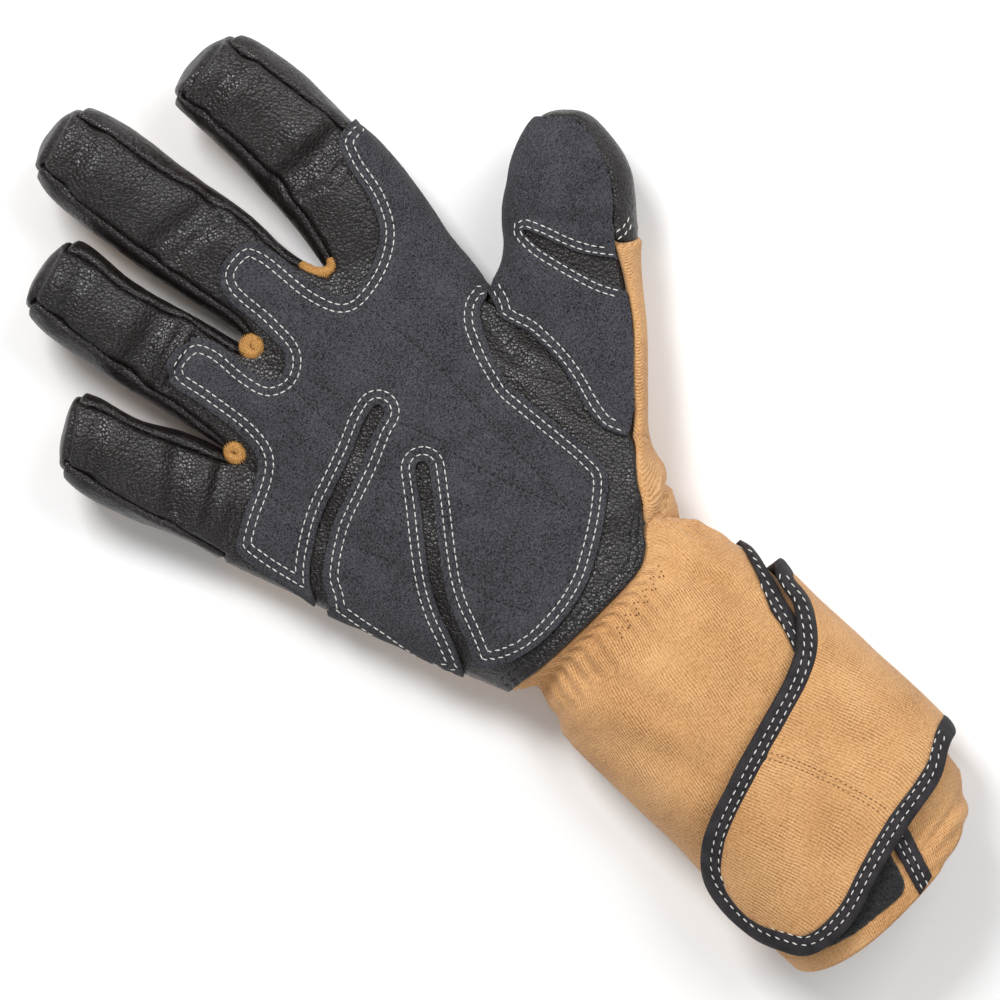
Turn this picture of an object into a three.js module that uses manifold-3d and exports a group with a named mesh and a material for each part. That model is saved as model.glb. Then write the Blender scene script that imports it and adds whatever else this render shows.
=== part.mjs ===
import * as THREE from 'three';
import { mergeVertices } from 'three/addons/utils/BufferGeometryUtils.js';
import Module from 'manifold-3d';

// A right-hand gauntlet work glove, lying on its back with the palm up.
// Millimetres. +Z is the palm side, +Y runs to the fingertips, +X is the thumb side.
// The origin lies on the flattened back of the hand, and y = 0 is a third of the way up the palm.

const wasm = await Module();
wasm.setup();

// Walls and clearances
const leatherWall = 1.6;
const knitWall = 1.8;
const overlayThickness = 1.2;
const layerClearance = 0.32;
const seamClearance = 0.46;
const heelClearance = 0.7;
const tuckedShare = 0.9;
const flapThickness = 2.2;
const bindingThickness = 1.8;
const loopThickness = 1.3;
const tackThickness = 1.6;
const bindingUnder = 0.1;
const bindingOver = 0.7;

// Hand
const palmWidth = 115;
const palmHeel = -42;
const palmLength = 126;
const palmRise = 2.5;
const thumbBaseBulge = 9;
const outerEdgeBulge = 2;
const rootSideBulge = 0.8;
const heelNotch = 6;
const backFlattening = 2.6;
const heelDepth = 46;
const heelLeft = -39.5;
const heelRight = 35;

// Where the corners of the hand's panels lie round the heel, in degrees from the thumb side
const heelAngles = { frontLeft: 170, frontRight: 52, backRight: -42, backLeft: -142 };
const heelNotchSpread = 26;

// Cuff
const cuffLength = 130;
const cuffWidth = 80;
const cuffDepth = 49;
const cuffRearShortening = 11;
const hemRoundness = 0.8;
const heelFade = 0.12;

// Slit, closing flap and their bindings on the cuff
const slitBindingTop = 4.6;
const slitBindingHem = 7.6;
const flapBindingWidth = 6.6;
const gussetHemAllowance = 5;
const flapTurnShare = 0.3;
const flapSeamMargin = 0.05;

const tackWidth = 7;

// Meshing of the tube-like forms: panels across a finger's face and its side, rows along
const FRONT = 4;
const SIDE = 3;
const RING = 2 * (FRONT + SIDE);
const FINGERS = 4;
const PALM_FRONT = FINGERS * FRONT;
const PALM_RING = 2 * (PALM_FRONT + SIDE);
const RIGHT_BACK = PALM_FRONT + SIDE;
const LEFT_BACK = RIGHT_BACK + PALM_FRONT;

// Steps along curved outlines and round small ends
const slitSteps = 8;
const flapSteps = 44;
const endSteps = 5;
const tackSides = 16;

// Limits of the offset sheets at tight corners, and the shortest lengths kept in a solid
const leastLean = 0.4;
const leastReach = 0.2;
const mergeTolerance = 1e-4;
const shortestEdge = 0.02;

// Heights that every upright cut reaches beyond the glove
const farBelow = -50;
const farAbove = 120;

// Rows of the palm from the heel to the finger roots, and those that the thumb grows from
const palmRows = [0, 0.12, 0.22, 0.36, 0.5, 0.64, 0.8, 0.9, 1];
const thumbRowLow = 2;
const thumbRowHigh = 6;

// Roots between the fingers, from the little finger's outer side to the index finger's
// across: share of the palm's width, along: share of its length, front and back: share of heelDepth
const rootTable = [
  { across: -0.612, along: 0.7, front: 0.42, back: 0.13 },
  { across: -0.409, along: 0.849, front: 0.52, back: 0.1 },
  { across: -0.174, along: 1, front: 0.58, back: 0.09 },
  { across: 0.096, along: 1.004, front: 0.58, back: 0.09 },
  { across: 0.375, along: 0.857, front: 0.5, back: 0.12 },
];

// Digits. splay: degrees from straight ahead, towards the little finger
// Rows: at: share of the length. left, seamLeft, seamRight, right: shares of halfWidth
// depth: share of the digit's depth. lift: share of its rise above the floor
// skew: how far the left side of a row runs ahead of its middle, as a share of the length
const fingers = [
  {
    name: 'little', root: [-0.513, 0.778], length: 55.5, halfWidth: 14, splay: 21, depth: 23, rise: 13,
    rows: [
      { at: 0.15, left: 1.0, seamLeft: 0.86, seamRight: 0.84, right: 1.06, depth: 1.04, lift: 0.3 },
      { at: 0.32, left: 1.04, seamLeft: 0.82, seamRight: 0.82, right: 1.08, depth: 1.04, lift: 0.42 },
      { at: 0.49, left: 1.06, seamLeft: 0.78, seamRight: 0.77, right: 1.0, depth: 1.03, lift: 0.56 },
      { at: 0.66, left: 1.03, seamLeft: 0.68, seamRight: 0.77, right: 0.91, depth: 1.01, lift: 0.72 },
      {
        at: 0.82, skew: -0.02,
        left: 0.94, seamLeft: 0.58, seamRight: 0.78, right: 0.99, depth: 0.97, lift: 0.87,
      },
      {
        at: 0.93, skew: -0.05,
        left: 0.74, seamLeft: 0.54, seamRight: 0.74, right: 0.93, depth: 0.86, lift: 1.02,
      },
    ],
  },
  {
    name: 'ring', root: [-0.291, 0.93], length: 73, halfWidth: 14.2, splay: 11.5, depth: 25, rise: 12,
    rows: [
      { at: 0.13, left: 1.06, seamLeft: 0.88, seamRight: 0.86, right: 1.0, depth: 1.04, lift: 0.24 },
      { at: 0.26, left: 1.09, seamLeft: 0.86, seamRight: 0.82, right: 0.95, depth: 1.02, lift: 0.32 },
      { at: 0.4, left: 1.12, seamLeft: 0.81, seamRight: 0.77, right: 0.91, depth: 1.0, lift: 0.44 },
      { at: 0.55, left: 1.12, seamLeft: 0.78, seamRight: 0.64, right: 0.84, depth: 1.02, lift: 0.58 },
      { at: 0.7, left: 1.12, seamLeft: 0.76, seamRight: 0.62, right: 0.83, depth: 1.01, lift: 0.74 },
      { at: 0.84, left: 1.07, seamLeft: 0.67, seamRight: 0.7, right: 0.92, depth: 0.97, lift: 0.9 },
      { at: 0.945, left: 0.9, seamLeft: 0.63, seamRight: 0.56, right: 0.83, depth: 0.84, lift: 1.04 },
    ],
  },
  {
    name: 'middle', root: [-0.039, 1.008], length: 89, halfWidth: 15.5, splay: 8.7, depth: 26, rise: 12,
    rows: [
      { at: 0.12, left: 0.9, seamLeft: 0.74, seamRight: 0.8, right: 0.92, depth: 1.03, lift: 0.2 },
      { at: 0.24, left: 0.94, seamLeft: 0.73, seamRight: 0.88, right: 0.99, depth: 1.02, lift: 0.28 },
      { at: 0.36, left: 0.99, seamLeft: 0.73, seamRight: 0.89, right: 1.02, depth: 1.0, lift: 0.36 },
      { at: 0.49, left: 1.02, seamLeft: 0.74, seamRight: 0.81, right: 1.01, depth: 1.01, lift: 0.48 },
      { at: 0.63, left: 1.01, seamLeft: 0.75, seamRight: 0.71, right: 1.0, depth: 1.02, lift: 0.62 },
      { at: 0.77, left: 1.01, seamLeft: 0.72, seamRight: 0.68, right: 1.02, depth: 1.0, lift: 0.78 },
      { at: 0.88, left: 0.94, seamLeft: 0.63, seamRight: 0.65, right: 0.94, depth: 0.95, lift: 0.92 },
      { at: 0.955, left: 0.74, seamLeft: 0.55, seamRight: 0.58, right: 0.78, depth: 0.83, lift: 1.05 },
    ],
  },
  {
    name: 'index', root: [0.25, 0.93], length: 82.5, halfWidth: 17, splay: -0.3, depth: 26, rise: 12,
    rows: [
      { at: 0.12, left: 1.0, seamLeft: 0.85, seamRight: 0.94, right: 1.1, depth: 1.02, lift: 0.22 },
      { at: 0.25, left: 0.88, seamLeft: 0.67, seamRight: 0.96, right: 1.17, depth: 1.0, lift: 0.3 },
      { at: 0.38, left: 0.81, seamLeft: 0.55, seamRight: 0.97, right: 1.16, depth: 0.98, lift: 0.39 },
      { at: 0.52, left: 0.78, seamLeft: 0.51, seamRight: 0.94, right: 1.15, depth: 0.99, lift: 0.51 },
      { at: 0.66, left: 0.77, seamLeft: 0.53, seamRight: 0.84, right: 1.14, depth: 1.0, lift: 0.66 },
      { at: 0.79, left: 0.8, seamLeft: 0.59, seamRight: 0.74, right: 1.07, depth: 0.98, lift: 0.8 },
      { at: 0.89, left: 0.83, seamLeft: 0.65, seamRight: 0.63, right: 0.95, depth: 0.93, lift: 0.94 },
      { at: 0.955, left: 0.76, seamLeft: 0.62, seamRight: 0.57, right: 0.78, depth: 0.82, lift: 1.05 },
    ],
  },
];
const thumb = {
  name: 'thumb', root: [0.4, 0.444], length: 72, halfWidth: 20, splay: -47.5, depth: 25, rise: 13,
  rows: [
    {
      at: 0.27, skew: 0.12,
      left: 1.12, seamLeft: 0.94, seamRight: 0.78, right: 0.97, depth: 1.16, lift: 0.35,
    },
    {
      at: 0.42, skew: 0.07,
      left: 1.13, seamLeft: 0.9, seamRight: 0.6, right: 0.87, depth: 1.08, lift: 0.52,
    },
    {
      at: 0.57, skew: 0.02,
      left: 1.17, seamLeft: 0.9, seamRight: 0.43, right: 0.84, depth: 1.06, lift: 0.7,
    },
    { at: 0.71, left: 1.11, seamLeft: 0.84, seamRight: 0.38, right: 0.78, depth: 1.02, lift: 0.84 },
    { at: 0.83, left: 1.0, seamLeft: 0.74, seamRight: 0.28, right: 0.64, depth: 0.94, lift: 0.97 },
    { at: 0.93, left: 0.78, seamLeft: 0.56, seamRight: 0.16, right: 0.44, depth: 0.8, lift: 1.1 },
  ],
};
const thumbRootRows = 2;
const thumbCapRow = 2;
const thumbMoundStart = 2.2;
const gapRise = 1;
const tipBulge = 0.045;
const tipFullness = 4;

// Heights within a digit's section, as shares of its depth
const faceCrown = 0.1;
const sideHigh = 0.66;
const sideLow = 0.27;
const lowSideReach = 0.97;
const backCorner = 0.07;
const backHalf = 0.7;

// Cuff sections: along: share of cuffLength from the heel. left, right: shares of half its width
// depth: share of cuffDepth
const cuffRows = [
  { along: 0, left: -0.985, right: 0.875, depth: 0.94 },
  { along: 0.055, left: -0.8, right: 0.9, depth: 0.88 },
  { along: 0.13, left: -0.84, right: 0.98, depth: 0.92 },
  { along: 0.2, left: -0.895, right: 1.01, depth: 0.97 },
  { along: 0.32, left: -0.9, right: 1.03, depth: 1 },
  { along: 0.5, left: -0.9, right: 1.055, depth: 1 },
  { along: 0.74, left: -0.91, right: 1.1, depth: 1 },
  { along: 0.84, left: -0.91, right: 1.02, depth: 0.99 },
  { along: 0.92, left: -0.9, right: 0.9, depth: 0.98 },
  { along: 1, left: -0.84, right: 0.74, depth: 0.95 },
];
const cuffSides = 36;
const seamHeight = 0.42;
const topSquareness = 2.4;
const backSquareness = 3.4;

// Palm overlay outline and its two slots: [across, along] in shares of palmWidth and palmLength,
// measured from the origin
const overlayOutline = [
  [-0.45, -0.19], [-0.5, -0.02], [-0.535, 0.16], [-0.57, 0.3], [-0.572, 0.36], [-0.52, 0.395], [-0.37, 0.47],
  [-0.355, 0.53], [-0.372, 0.66], [-0.386, 0.75], [-0.355, 0.785], [-0.27, 0.785], [-0.237, 0.74],
  [-0.222, 0.63], [-0.205, 0.585], [-0.165, 0.575], [-0.128, 0.6], [-0.12, 0.68], [-0.125, 0.81],
  [-0.09, 0.855], [0, 0.86], [0.03, 0.82], [0.054, 0.66], [0.085, 0.6], [0.145, 0.597], [0.22, 0.618],
  [0.275, 0.655], [0.312, 0.72], [0.335, 0.82], [0.365, 0.872], [0.43, 0.885], [0.6, 0.885], [0.6, 0.44],
  [0.42, 0.42], [0.365, 0.385], [0.33, 0.37], [0.255, 0.345], [0.205, 0.24], [0.19, 0.12], [0.205, 0],
  [0.225, -0.09], [0.195, -0.16], [0.1, -0.215], [0, -0.28], [-0.12, -0.317], [-0.27, -0.3],
  [-0.33, -0.255],
];
const overlaySlotWidth = 4.2;
const overlaySlots = [
  [
    [-0.6, 0.07], [-0.52, 0.12], [-0.485, 0.172], [-0.43, 0.214], [-0.35, 0.257], [-0.26, 0.286],
    [-0.174, 0.314], [-0.1, 0.343], [-0.062, 0.352],
  ],
  [
    [-0.4, -0.29], [-0.355, -0.22], [-0.324, -0.155], [-0.3, -0.095], [-0.268, -0.04],
    [-0.226, 0.014], [-0.181, 0.067], [-0.139, 0.115], [-0.083, 0.182],
  ],
];

// Thumb overlay outline and its slot: [along, across] in shares of the thumb's length and halfWidth
const thumbOverlayOutline = [
  [0.24, -1.31], [0.183, -1.165], [0.147, -0.87], [0.111, -0.58], [0.032, -0.305], [-0.06, -0.06],
  [-0.155, 0.165], [-0.247, 0.34], [-0.294, 0.525], [-0.315, 0.79], [-0.245, 0.885], [-0.147, 0.87],
  [0.049, 0.845], [0.157, 0.785], [0.265, 0.735], [0.42, 0.6], [0.58, 0.4], [0.72, 0.32],
  [0.84, 0.2], [0.93, 0], [0.97, -0.3], [1.02, -0.8], [0.9, -1.6], [0.5, -1.6], [0.4, -1.3],
];
const thumbOverlaySlot = [
  [0.52, -0.895], [0.458, -0.725], [0.398, -0.455], [0.351, -0.125], [0.317, 0.16], [0.282, 0.525],
  [0.27, 0.95], [0.47, 0.95], [0.419, 0.575], [0.403, 0.42], [0.414, 0.075], [0.444, -0.225],
  [0.481, -0.515], [0.511, -0.75],
];

// Thread tacks at the foot of each finger gap: root: which gap, reach and shift: shares of tackWidth
const tacks = [
  { name: 'tack_ring_little', root: 1, reachX: 0.36, reachY: 0.6, shift: 0.05 },
  { name: 'tack_middle_ring', root: 2, reachX: 0.5, reachY: 0.6, shift: 0.08 },
  { name: 'tack_index_middle', root: 3, reachX: 0.6, reachY: 0.55, shift: 0.08 },
];

// Profile of a tack: distance from its middle and height, in shares of its reach and tackThickness
const tackProfile = [[0, 0], [0.55, 0], [1, 0], [0.97, 0.5], [0.74, 0.86], [0.36, 1], [0, 1.04]];

// Closing flap seen from above: [across, along] in shares of cuffWidth and cuffLength,
// measured from the middle of the heel
const flapEdge = [
  [0.75, -0.255], [0.555, -0.265], [0.525, -0.34], [0.42, -0.418], [0.31, -0.452], [0.12, -0.485],
  [-0.13, -0.53], [-0.35, -0.585], [-0.445, -0.64], [-0.475, -0.72], [-0.465, -0.8], [-0.42, -0.86],
  [-0.36, -0.9], [-0.28, -0.915], [-0.17, -0.912], [0, -0.88], [0.2, -0.848], [0.42, -0.825],
  [0.54, -0.79], [0.75, -0.778],
];
const slitTop = [0.53, -0.14];
const slitHem = [0.1, -1.02];
const loopEdge = [
  [-0.41, -0.7], [-0.41, -0.86], [-0.36, -0.925], [-0.25, -0.958], [-0.1, -0.972], [0.04, -0.972],
  [0.09, -0.9], [0.15, -0.78], [0.12, -0.7],
];
const flapRootHeight = 0.2;

// Colours, roughness and metalness
const blackLeather = new THREE.MeshStandardMaterial({ color: 0x2b2628, roughness: 0.48, metalness: 0 });
const charcoalSuede = new THREE.MeshStandardMaterial({ color: 0x3e4046, roughness: 0.95, metalness: 0 });
const tanKnit = new THREE.MeshStandardMaterial({ color: 0xc9a066, roughness: 0.85, metalness: 0 });
const blackBinding = new THREE.MeshStandardMaterial({ color: 0x303034, roughness: 0.8, metalness: 0 });
const blackLoop = new THREE.MeshStandardMaterial({ color: 0x1b1b1d, roughness: 1, metalness: 0 });
const tanThread = new THREE.MeshStandardMaterial({ color: 0xcf9a50, roughness: 0.5, metalness: 0 });

const lerp = THREE.MathUtils.lerp;
const radians = THREE.MathUtils.degToRad;

// Point of the closed section curve of a cuff or the heel; the angle starts at the thumb side
function sectionPoint(left, right, depth, angle, offset) {
  const halfWidth = (right - left) / 2 + offset;
  const seam = depth * seamHeight;
  const c = Math.cos(angle);
  const s = Math.sin(angle);
  const squareness = s >= 0 ? topSquareness : backSquareness;
  const height = s >= 0 ? depth - seam + offset : seam + offset;
  const x = (left + right) / 2 + halfWidth * Math.sign(c) * Math.abs(c) ** (2 / squareness);
  const z = seam + height * Math.sign(s) * Math.abs(s) ** (2 / squareness);
  return [x, z];
}

// Cuff section at a share of the cuff's length, smoothed between the rows of its table
function cuffSection(along) {
  const share = THREE.MathUtils.clamp(along, 0, 1);
  const last = cuffRows.length - 1;
  let i = 0;
  while (i < last - 1 && cuffRows[i + 1].along < share) i += 1;
  const a = cuffRows[i];
  const b = cuffRows[i + 1];
  const t = THREE.MathUtils.smoothstep(share, a.along, b.along);
  const half = cuffWidth / 2;
  return {
    left: half * lerp(a.left, b.left, t),
    right: half * lerp(a.right, b.right, t),
    depth: cuffDepth * lerp(a.depth, b.depth, t),
  };
}

// The hand as one closed net of quads, each labelled with the panel that it belongs to
const net = { points: [], quads: [] };

function addPoint(x, y, z) {
  net.points.push(new THREE.Vector3(x, y, z));
  return net.points.length - 1;
}

function addQuad(a, b, c, d, panel) {
  net.quads.push({ ids: [a, b, c, d], panel });
}

// How far the edge between hand and cuff rises at the foot of the thumb
const notchAngle = radians(heelAngles.frontRight);
const notchSpread = radians(heelNotchSpread);
function heelLine(angle) {
  const away = Math.atan2(Math.sin(angle - notchAngle), Math.cos(angle - notchAngle)) / notchSpread;
  return palmHeel + heelNotch * Math.exp(-away * away);
}

// Where a column of the palm lies at the heel, on the heel's section curve
function heelPoint(column) {
  const frontLeft = radians(heelAngles.frontLeft);
  const frontRight = radians(heelAngles.frontRight);
  const backRight = radians(heelAngles.backRight);
  const backLeft = radians(heelAngles.backLeft);
  let angle;
  if (column <= PALM_FRONT) {
    angle = lerp(frontLeft, frontRight, column / PALM_FRONT);
  } else if (column <= RIGHT_BACK) {
    angle = lerp(frontRight, backRight, (column - PALM_FRONT) / SIDE);
  } else if (column <= LEFT_BACK) {
    angle = lerp(backRight, backLeft, (column - RIGHT_BACK) / PALM_FRONT);
  } else {
    angle = lerp(backLeft, frontLeft - radians(360), (column - LEFT_BACK) / SIDE);
  }
  const [x, z] = sectionPoint(heelLeft, heelRight, heelDepth, angle, 0);
  return new THREE.Vector3(x, heelLine(angle), z);
}

// Where a column of the palm lies at the finger roots
function rootPoint(column) {
  const place = (k, share) => {
    const a = rootTable[k];
    return new THREE.Vector3(
      a.across * palmWidth,
      palmHeel + a.along * palmLength,
      heelDepth * lerp(a.front, a.back, share),
    );
  };
  const between = (position, share, bow) => {
    const k = Math.min(Math.floor(position), FINGERS - 1);
    const t = position - k;
    const point = place(k, share).lerp(place(k + 1, share), t);
    point.z += bow * 4 * t * (1 - t);
    return point;
  };
  if (column <= PALM_FRONT) return between(column / FRONT, 0, palmRise);
  if (column < RIGHT_BACK) {
    const t = (column - PALM_FRONT) / SIDE;
    const point = place(FINGERS, t);
    point.x += rootSideBulge * Math.sin(Math.PI * t);
    return point;
  }
  if (column <= LEFT_BACK) return between((LEFT_BACK - column) / FRONT, 1, -palmRise);
  const t = (column - LEFT_BACK) / SIDE;
  const point = place(0, 1 - t);
  point.x -= 2 * rootSideBulge * Math.sin(Math.PI * t);
  return point;
}

// Palm: rows between the heel and the roots, with the mound at the foot of the thumb
function palmPoint(column, share) {
  const point = heelPoint(column).lerp(rootPoint(column), share);
  const swell = Math.sin(Math.PI * Math.min(share / palmRows[thumbRowHigh], 1));
  if (column <= RIGHT_BACK) {
    const towardsThumb = THREE.MathUtils.smoothstep(column, FRONT * thumbMoundStart, PALM_FRONT);
    point.x += thumbBaseBulge * swell * towardsThumb;
    if (column <= PALM_FRONT) point.z += palmRise * swell * towardsThumb;
  }
  if (column <= PALM_FRONT) {
    const hollow = Math.sin((Math.PI * column) / PALM_FRONT);
    point.z -= palmRise * swell * hollow;
  }
  if (column >= RIGHT_BACK && column <= LEFT_BACK) {
    point.z = Math.max(point.z - backFlattening * THREE.MathUtils.smoothstep(share, 0, palmRows[1]), 0);
  }
  const towardsEdge = column > LEFT_BACK ? 1 : 1 - THREE.MathUtils.smoothstep(column, 0, FRONT);
  point.x -= outerEdgeBulge * Math.sin(Math.PI * share) * towardsEdge;
  return point;
}

const palmIds = palmRows.map((share, row) => {
  const ids = [];
  for (let column = 0; column < PALM_RING; column += 1) {
    const point = palmPoint(column, share);
    ids.push(addPoint(point.x, point.y, Math.max(point.z, 0)));
  }
  return ids;
});

for (let row = 0; row < palmRows.length - 1; row += 1) {
  for (let column = 0; column < PALM_RING; column += 1) {
    const next = (column + 1) % PALM_RING;
    const thumbSide = column >= PALM_FRONT && column < RIGHT_BACK;
    if (thumbSide && row >= thumbRowLow && row < thumbRowHigh) continue;
    let panel = 'back_panel';
    if (column < PALM_FRONT) panel = 'palm_panel';
    else if (thumbSide && row >= thumbRowHigh) panel = 'index_outer_side';
    const ids = [palmIds[row][column], palmIds[row][next], palmIds[row + 1][next], palmIds[row + 1][column]];
    addQuad(...ids, panel);
  }
}

// Axis of a digit, seen from above, and its section rings
function digitFrame(digit) {
  const turn = radians(digit.splay);
  const axis = new THREE.Vector3(-Math.sin(turn), Math.cos(turn), 0);
  const lateral = new THREE.Vector3(axis.y, -axis.x, 0);
  const root = new THREE.Vector3(digit.root[0] * palmWidth, palmHeel + digit.root[1] * palmLength, 0);
  return { axis, lateral, root };
}

function digitPlace(digit, along, across, z) {
  const { axis, lateral, root } = digitFrame(digit);
  const point = root.clone();
  point.addScaledVector(axis, along * digit.length);
  point.addScaledVector(lateral, across * digit.halfWidth);
  point.z = z;
  return point;
}

function digitRing(digit, row) {
  const base = digit.rise * row.lift;
  const depth = digit.depth * row.depth;
  const skew = row.skew ?? 0;
  const place = (across, z) => digitPlace(digit, row.at - skew * across, across, z);
  const ring = [];
  for (let j = 0; j <= FRONT; j += 1) {
    const t = j / FRONT;
    const across = lerp(-row.seamLeft, row.seamRight, t);
    const crown = 1 - faceCrown * (2 * t - 1) ** 2;
    ring.push(place(across, base + depth * crown));
  }
  ring.push(place(row.right, base + depth * sideHigh));
  ring.push(place(row.right * lowSideReach, base + depth * sideLow));
  for (let j = 0; j <= FRONT; j += 1) {
    const t = j / FRONT;
    const across = lerp(row.right, -row.left, t) * backHalf;
    ring.push(place(across, base + depth * backCorner * (2 * t - 1) ** 2));
  }
  ring.push(place(-row.left * lowSideReach, base + depth * sideLow));
  ring.push(place(-row.left, base + depth * sideHigh));
  return ring;
}

function panelOf(digit, j, rowIndex) {
  if (j < FRONT) return digit.panels.front;
  if (j < FRONT + SIDE) return digit.panels.right(rowIndex);
  if (j < 2 * FRONT + SIDE) return digit.panels.back(rowIndex);
  return digit.panels.left;
}

// Joins rings of points into a digit and closes its tip with a small grid
function buildDigit(digit, rootIds, extraRows) {
  let previous = rootIds;
  const rings = digit.rows.map((row) => digitRing(digit, row));
  const rootPoints = rootIds.map((id) => net.points[id]);
  const leading = [];
  for (let k = 1; k <= extraRows; k += 1) {
    const t = k / (extraRows + 1);
    leading.push(rings[0].map((point, j) => rootPoints[j].clone().lerp(point, t)));
  }
  [...leading, ...rings].forEach((ring, index) => {
    const ids = ring.map((point) => addPoint(point.x, point.y, point.z));
    for (let j = 0; j < RING; j += 1) {
      const next = (j + 1) % RING;
      const panel = panelOf(digit, j, index - extraRows);
      addQuad(previous[j], previous[next], ids[next], ids[j], panel);
    }
    previous = ids;
  });
  closeTip(digit, previous);
}

function closeTip(digit, ring) {
  const { axis } = digitFrame(digit);
  const at = (j) => net.points[ring[(j + RING) % RING]];
  const grid = [];
  for (let i = 0; i <= SIDE; i += 1) {
    const line = [];
    for (let k = 0; k <= FRONT; k += 1) {
      if (i === 0) line.push(ring[k]);
      else if (i === SIDE) line.push(ring[2 * FRONT + SIDE - k]);
      else if (k === 0) line.push(ring[(RING - i) % RING]);
      else if (k === FRONT) line.push(ring[FRONT + i]);
      else {
        const u = k / FRONT;
        const v = i / SIDE;
        const across = at(RING - i).clone().lerp(at(FRONT + i), u);
        const down = at(k).clone().lerp(at(2 * FRONT + SIDE - k), v);
        const middle = across.lerp(down, 0.5);
        const bulge = (1 - (2 * u - 1) ** tipFullness) * (1 - (2 * v - 1) ** tipFullness);
        middle.addScaledVector(axis, digit.length * tipBulge * bulge);
        line.push(addPoint(middle.x, middle.y, middle.z));
      }
    }
    grid.push(line);
  }
  for (let i = 0; i < SIDE; i += 1) {
    for (let k = 0; k < FRONT; k += 1) {
      addQuad(grid[i][k], grid[i][k + 1], grid[i + 1][k + 1], grid[i + 1][k], digit.panels.tip);
    }
  }
}

// Points down each finger gap, shared by the two fingers that meet there
const rootRow = palmRows.length - 1;
const gaps = [];
for (let k = 0; k <= FINGERS; k += 1) {
  const front = palmIds[rootRow][k * FRONT];
  const back = palmIds[rootRow][LEFT_BACK - k * FRONT];
  const path = [front];
  for (let i = 1; i < SIDE; i += 1) {
    if (k === 0) path.push(palmIds[rootRow][PALM_RING - i]);
    else if (k === FINGERS) path.push(palmIds[rootRow][PALM_FRONT + i]);
    else {
      const point = net.points[front].clone().lerp(net.points[back], i / SIDE);
      path.push(addPoint(point.x, point.y + gapRise, point.z));
    }
  }
  path.push(back);
  gaps.push(path);
}

const sides = [
  'little_outer_side',
  'fourchette_ring_little',
  'fourchette_middle_ring',
  'fourchette_index_middle',
  'index_outer_side',
];
fingers.forEach((digit, k) => {
  digit.panels = {
    front: 'palm_panel',
    right: () => sides[k + 1],
    back: () => 'back_panel',
    left: sides[k],
    tip: 'palm_panel',
  };
  const ring = [];
  for (let j = 0; j <= FRONT; j += 1) ring.push(palmIds[rootRow][k * FRONT + j]);
  for (let i = 1; i < SIDE; i += 1) ring.push(gaps[k + 1][i]);
  for (let j = 0; j <= FRONT; j += 1) ring.push(palmIds[rootRow][LEFT_BACK - (k + 1) * FRONT + j]);
  for (let i = SIDE - 1; i > 0; i -= 1) ring.push(gaps[k][i]);
  buildDigit(digit, ring, 0);
});

const capOrBack = (row) => (row > thumbCapRow ? 'thumb_tip_cap' : 'thumb_back');
thumb.panels = {
  front: 'thumb_front',
  right: capOrBack,
  back: capOrBack,
  left: 'thumb_front',
  tip: 'thumb_tip_cap',
};
const thumbRing = [];
for (let row = thumbRowHigh; row >= thumbRowLow; row -= 1) thumbRing.push(palmIds[row][PALM_FRONT]);
for (let i = 1; i < SIDE; i += 1) thumbRing.push(palmIds[thumbRowLow][PALM_FRONT + i]);
for (let row = thumbRowLow; row <= thumbRowHigh; row += 1) thumbRing.push(palmIds[row][RIGHT_BACK]);
for (let i = SIDE - 1; i > 0; i -= 1) thumbRing.push(palmIds[thumbRowHigh][PALM_FRONT + i]);
buildDigit(thumb, thumbRing, thumbRootRows);

// Outward normal at each point of the net
const normals = net.points.map(() => new THREE.Vector3());
for (const quad of net.quads) {
  const [a, b, c, d] = quad.ids.map((id) => net.points[id]);
  const normal = c.clone().sub(a).cross(d.clone().sub(b));
  quad.ids.forEach((id) => normals[id].add(normal));
}
normals.forEach((normal) => normal.normalize());

// How much further a point moves than its faces when the surface is offset, limited at tight corners
const miters = net.points.map(() => 1);
for (const quad of net.quads) {
  const [a, b, c, d] = quad.ids.map((id) => net.points[id]);
  const normal = c.clone().sub(a).cross(d.clone().sub(b)).normalize();
  quad.ids.forEach((id) => {
    const lean = Math.max(normal.dot(normals[id]), leastLean);
    miters[id] = Math.max(miters[id], 1 / lean);
  });
}

// Edges of a set of quads that only one of them has, in the direction of their faces
function borderEdges(quads) {
  const seen = new Map();
  for (const quad of quads) {
    quad.ids.forEach((a, i) => {
      const b = quad.ids[(i + 1) % 4];
      seen.set(`${a}_${b}`, [a, b]);
    });
  }
  return [...seen.values()].filter(([a, b]) => !seen.has(`${b}_${a}`));
}

// How far each border point of a panel draws back, so that neighbours keep their clearance
function drawBack(quads, distance) {
  const shifts = new Map();
  for (const [a, b] of borderEdges(quads)) {
    const along = net.points[b].clone().sub(net.points[a]).normalize();
    for (const id of [a, b]) {
      const inward = normals[id].clone().cross(along).normalize();
      const list = shifts.get(id) ?? [];
      list.push(inward);
      shifts.set(id, list);
    }
  }
  const result = new Map();
  shifts.forEach((list, id) => {
    const direction = list.reduce((sum, n) => sum.add(n), new THREE.Vector3()).normalize();
    const reach = Math.max(leastReach, Math.min(...list.map((n) => n.dot(direction))));
    result.set(id, direction.multiplyScalar(distance / reach));
  });
  return result;
}

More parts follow.
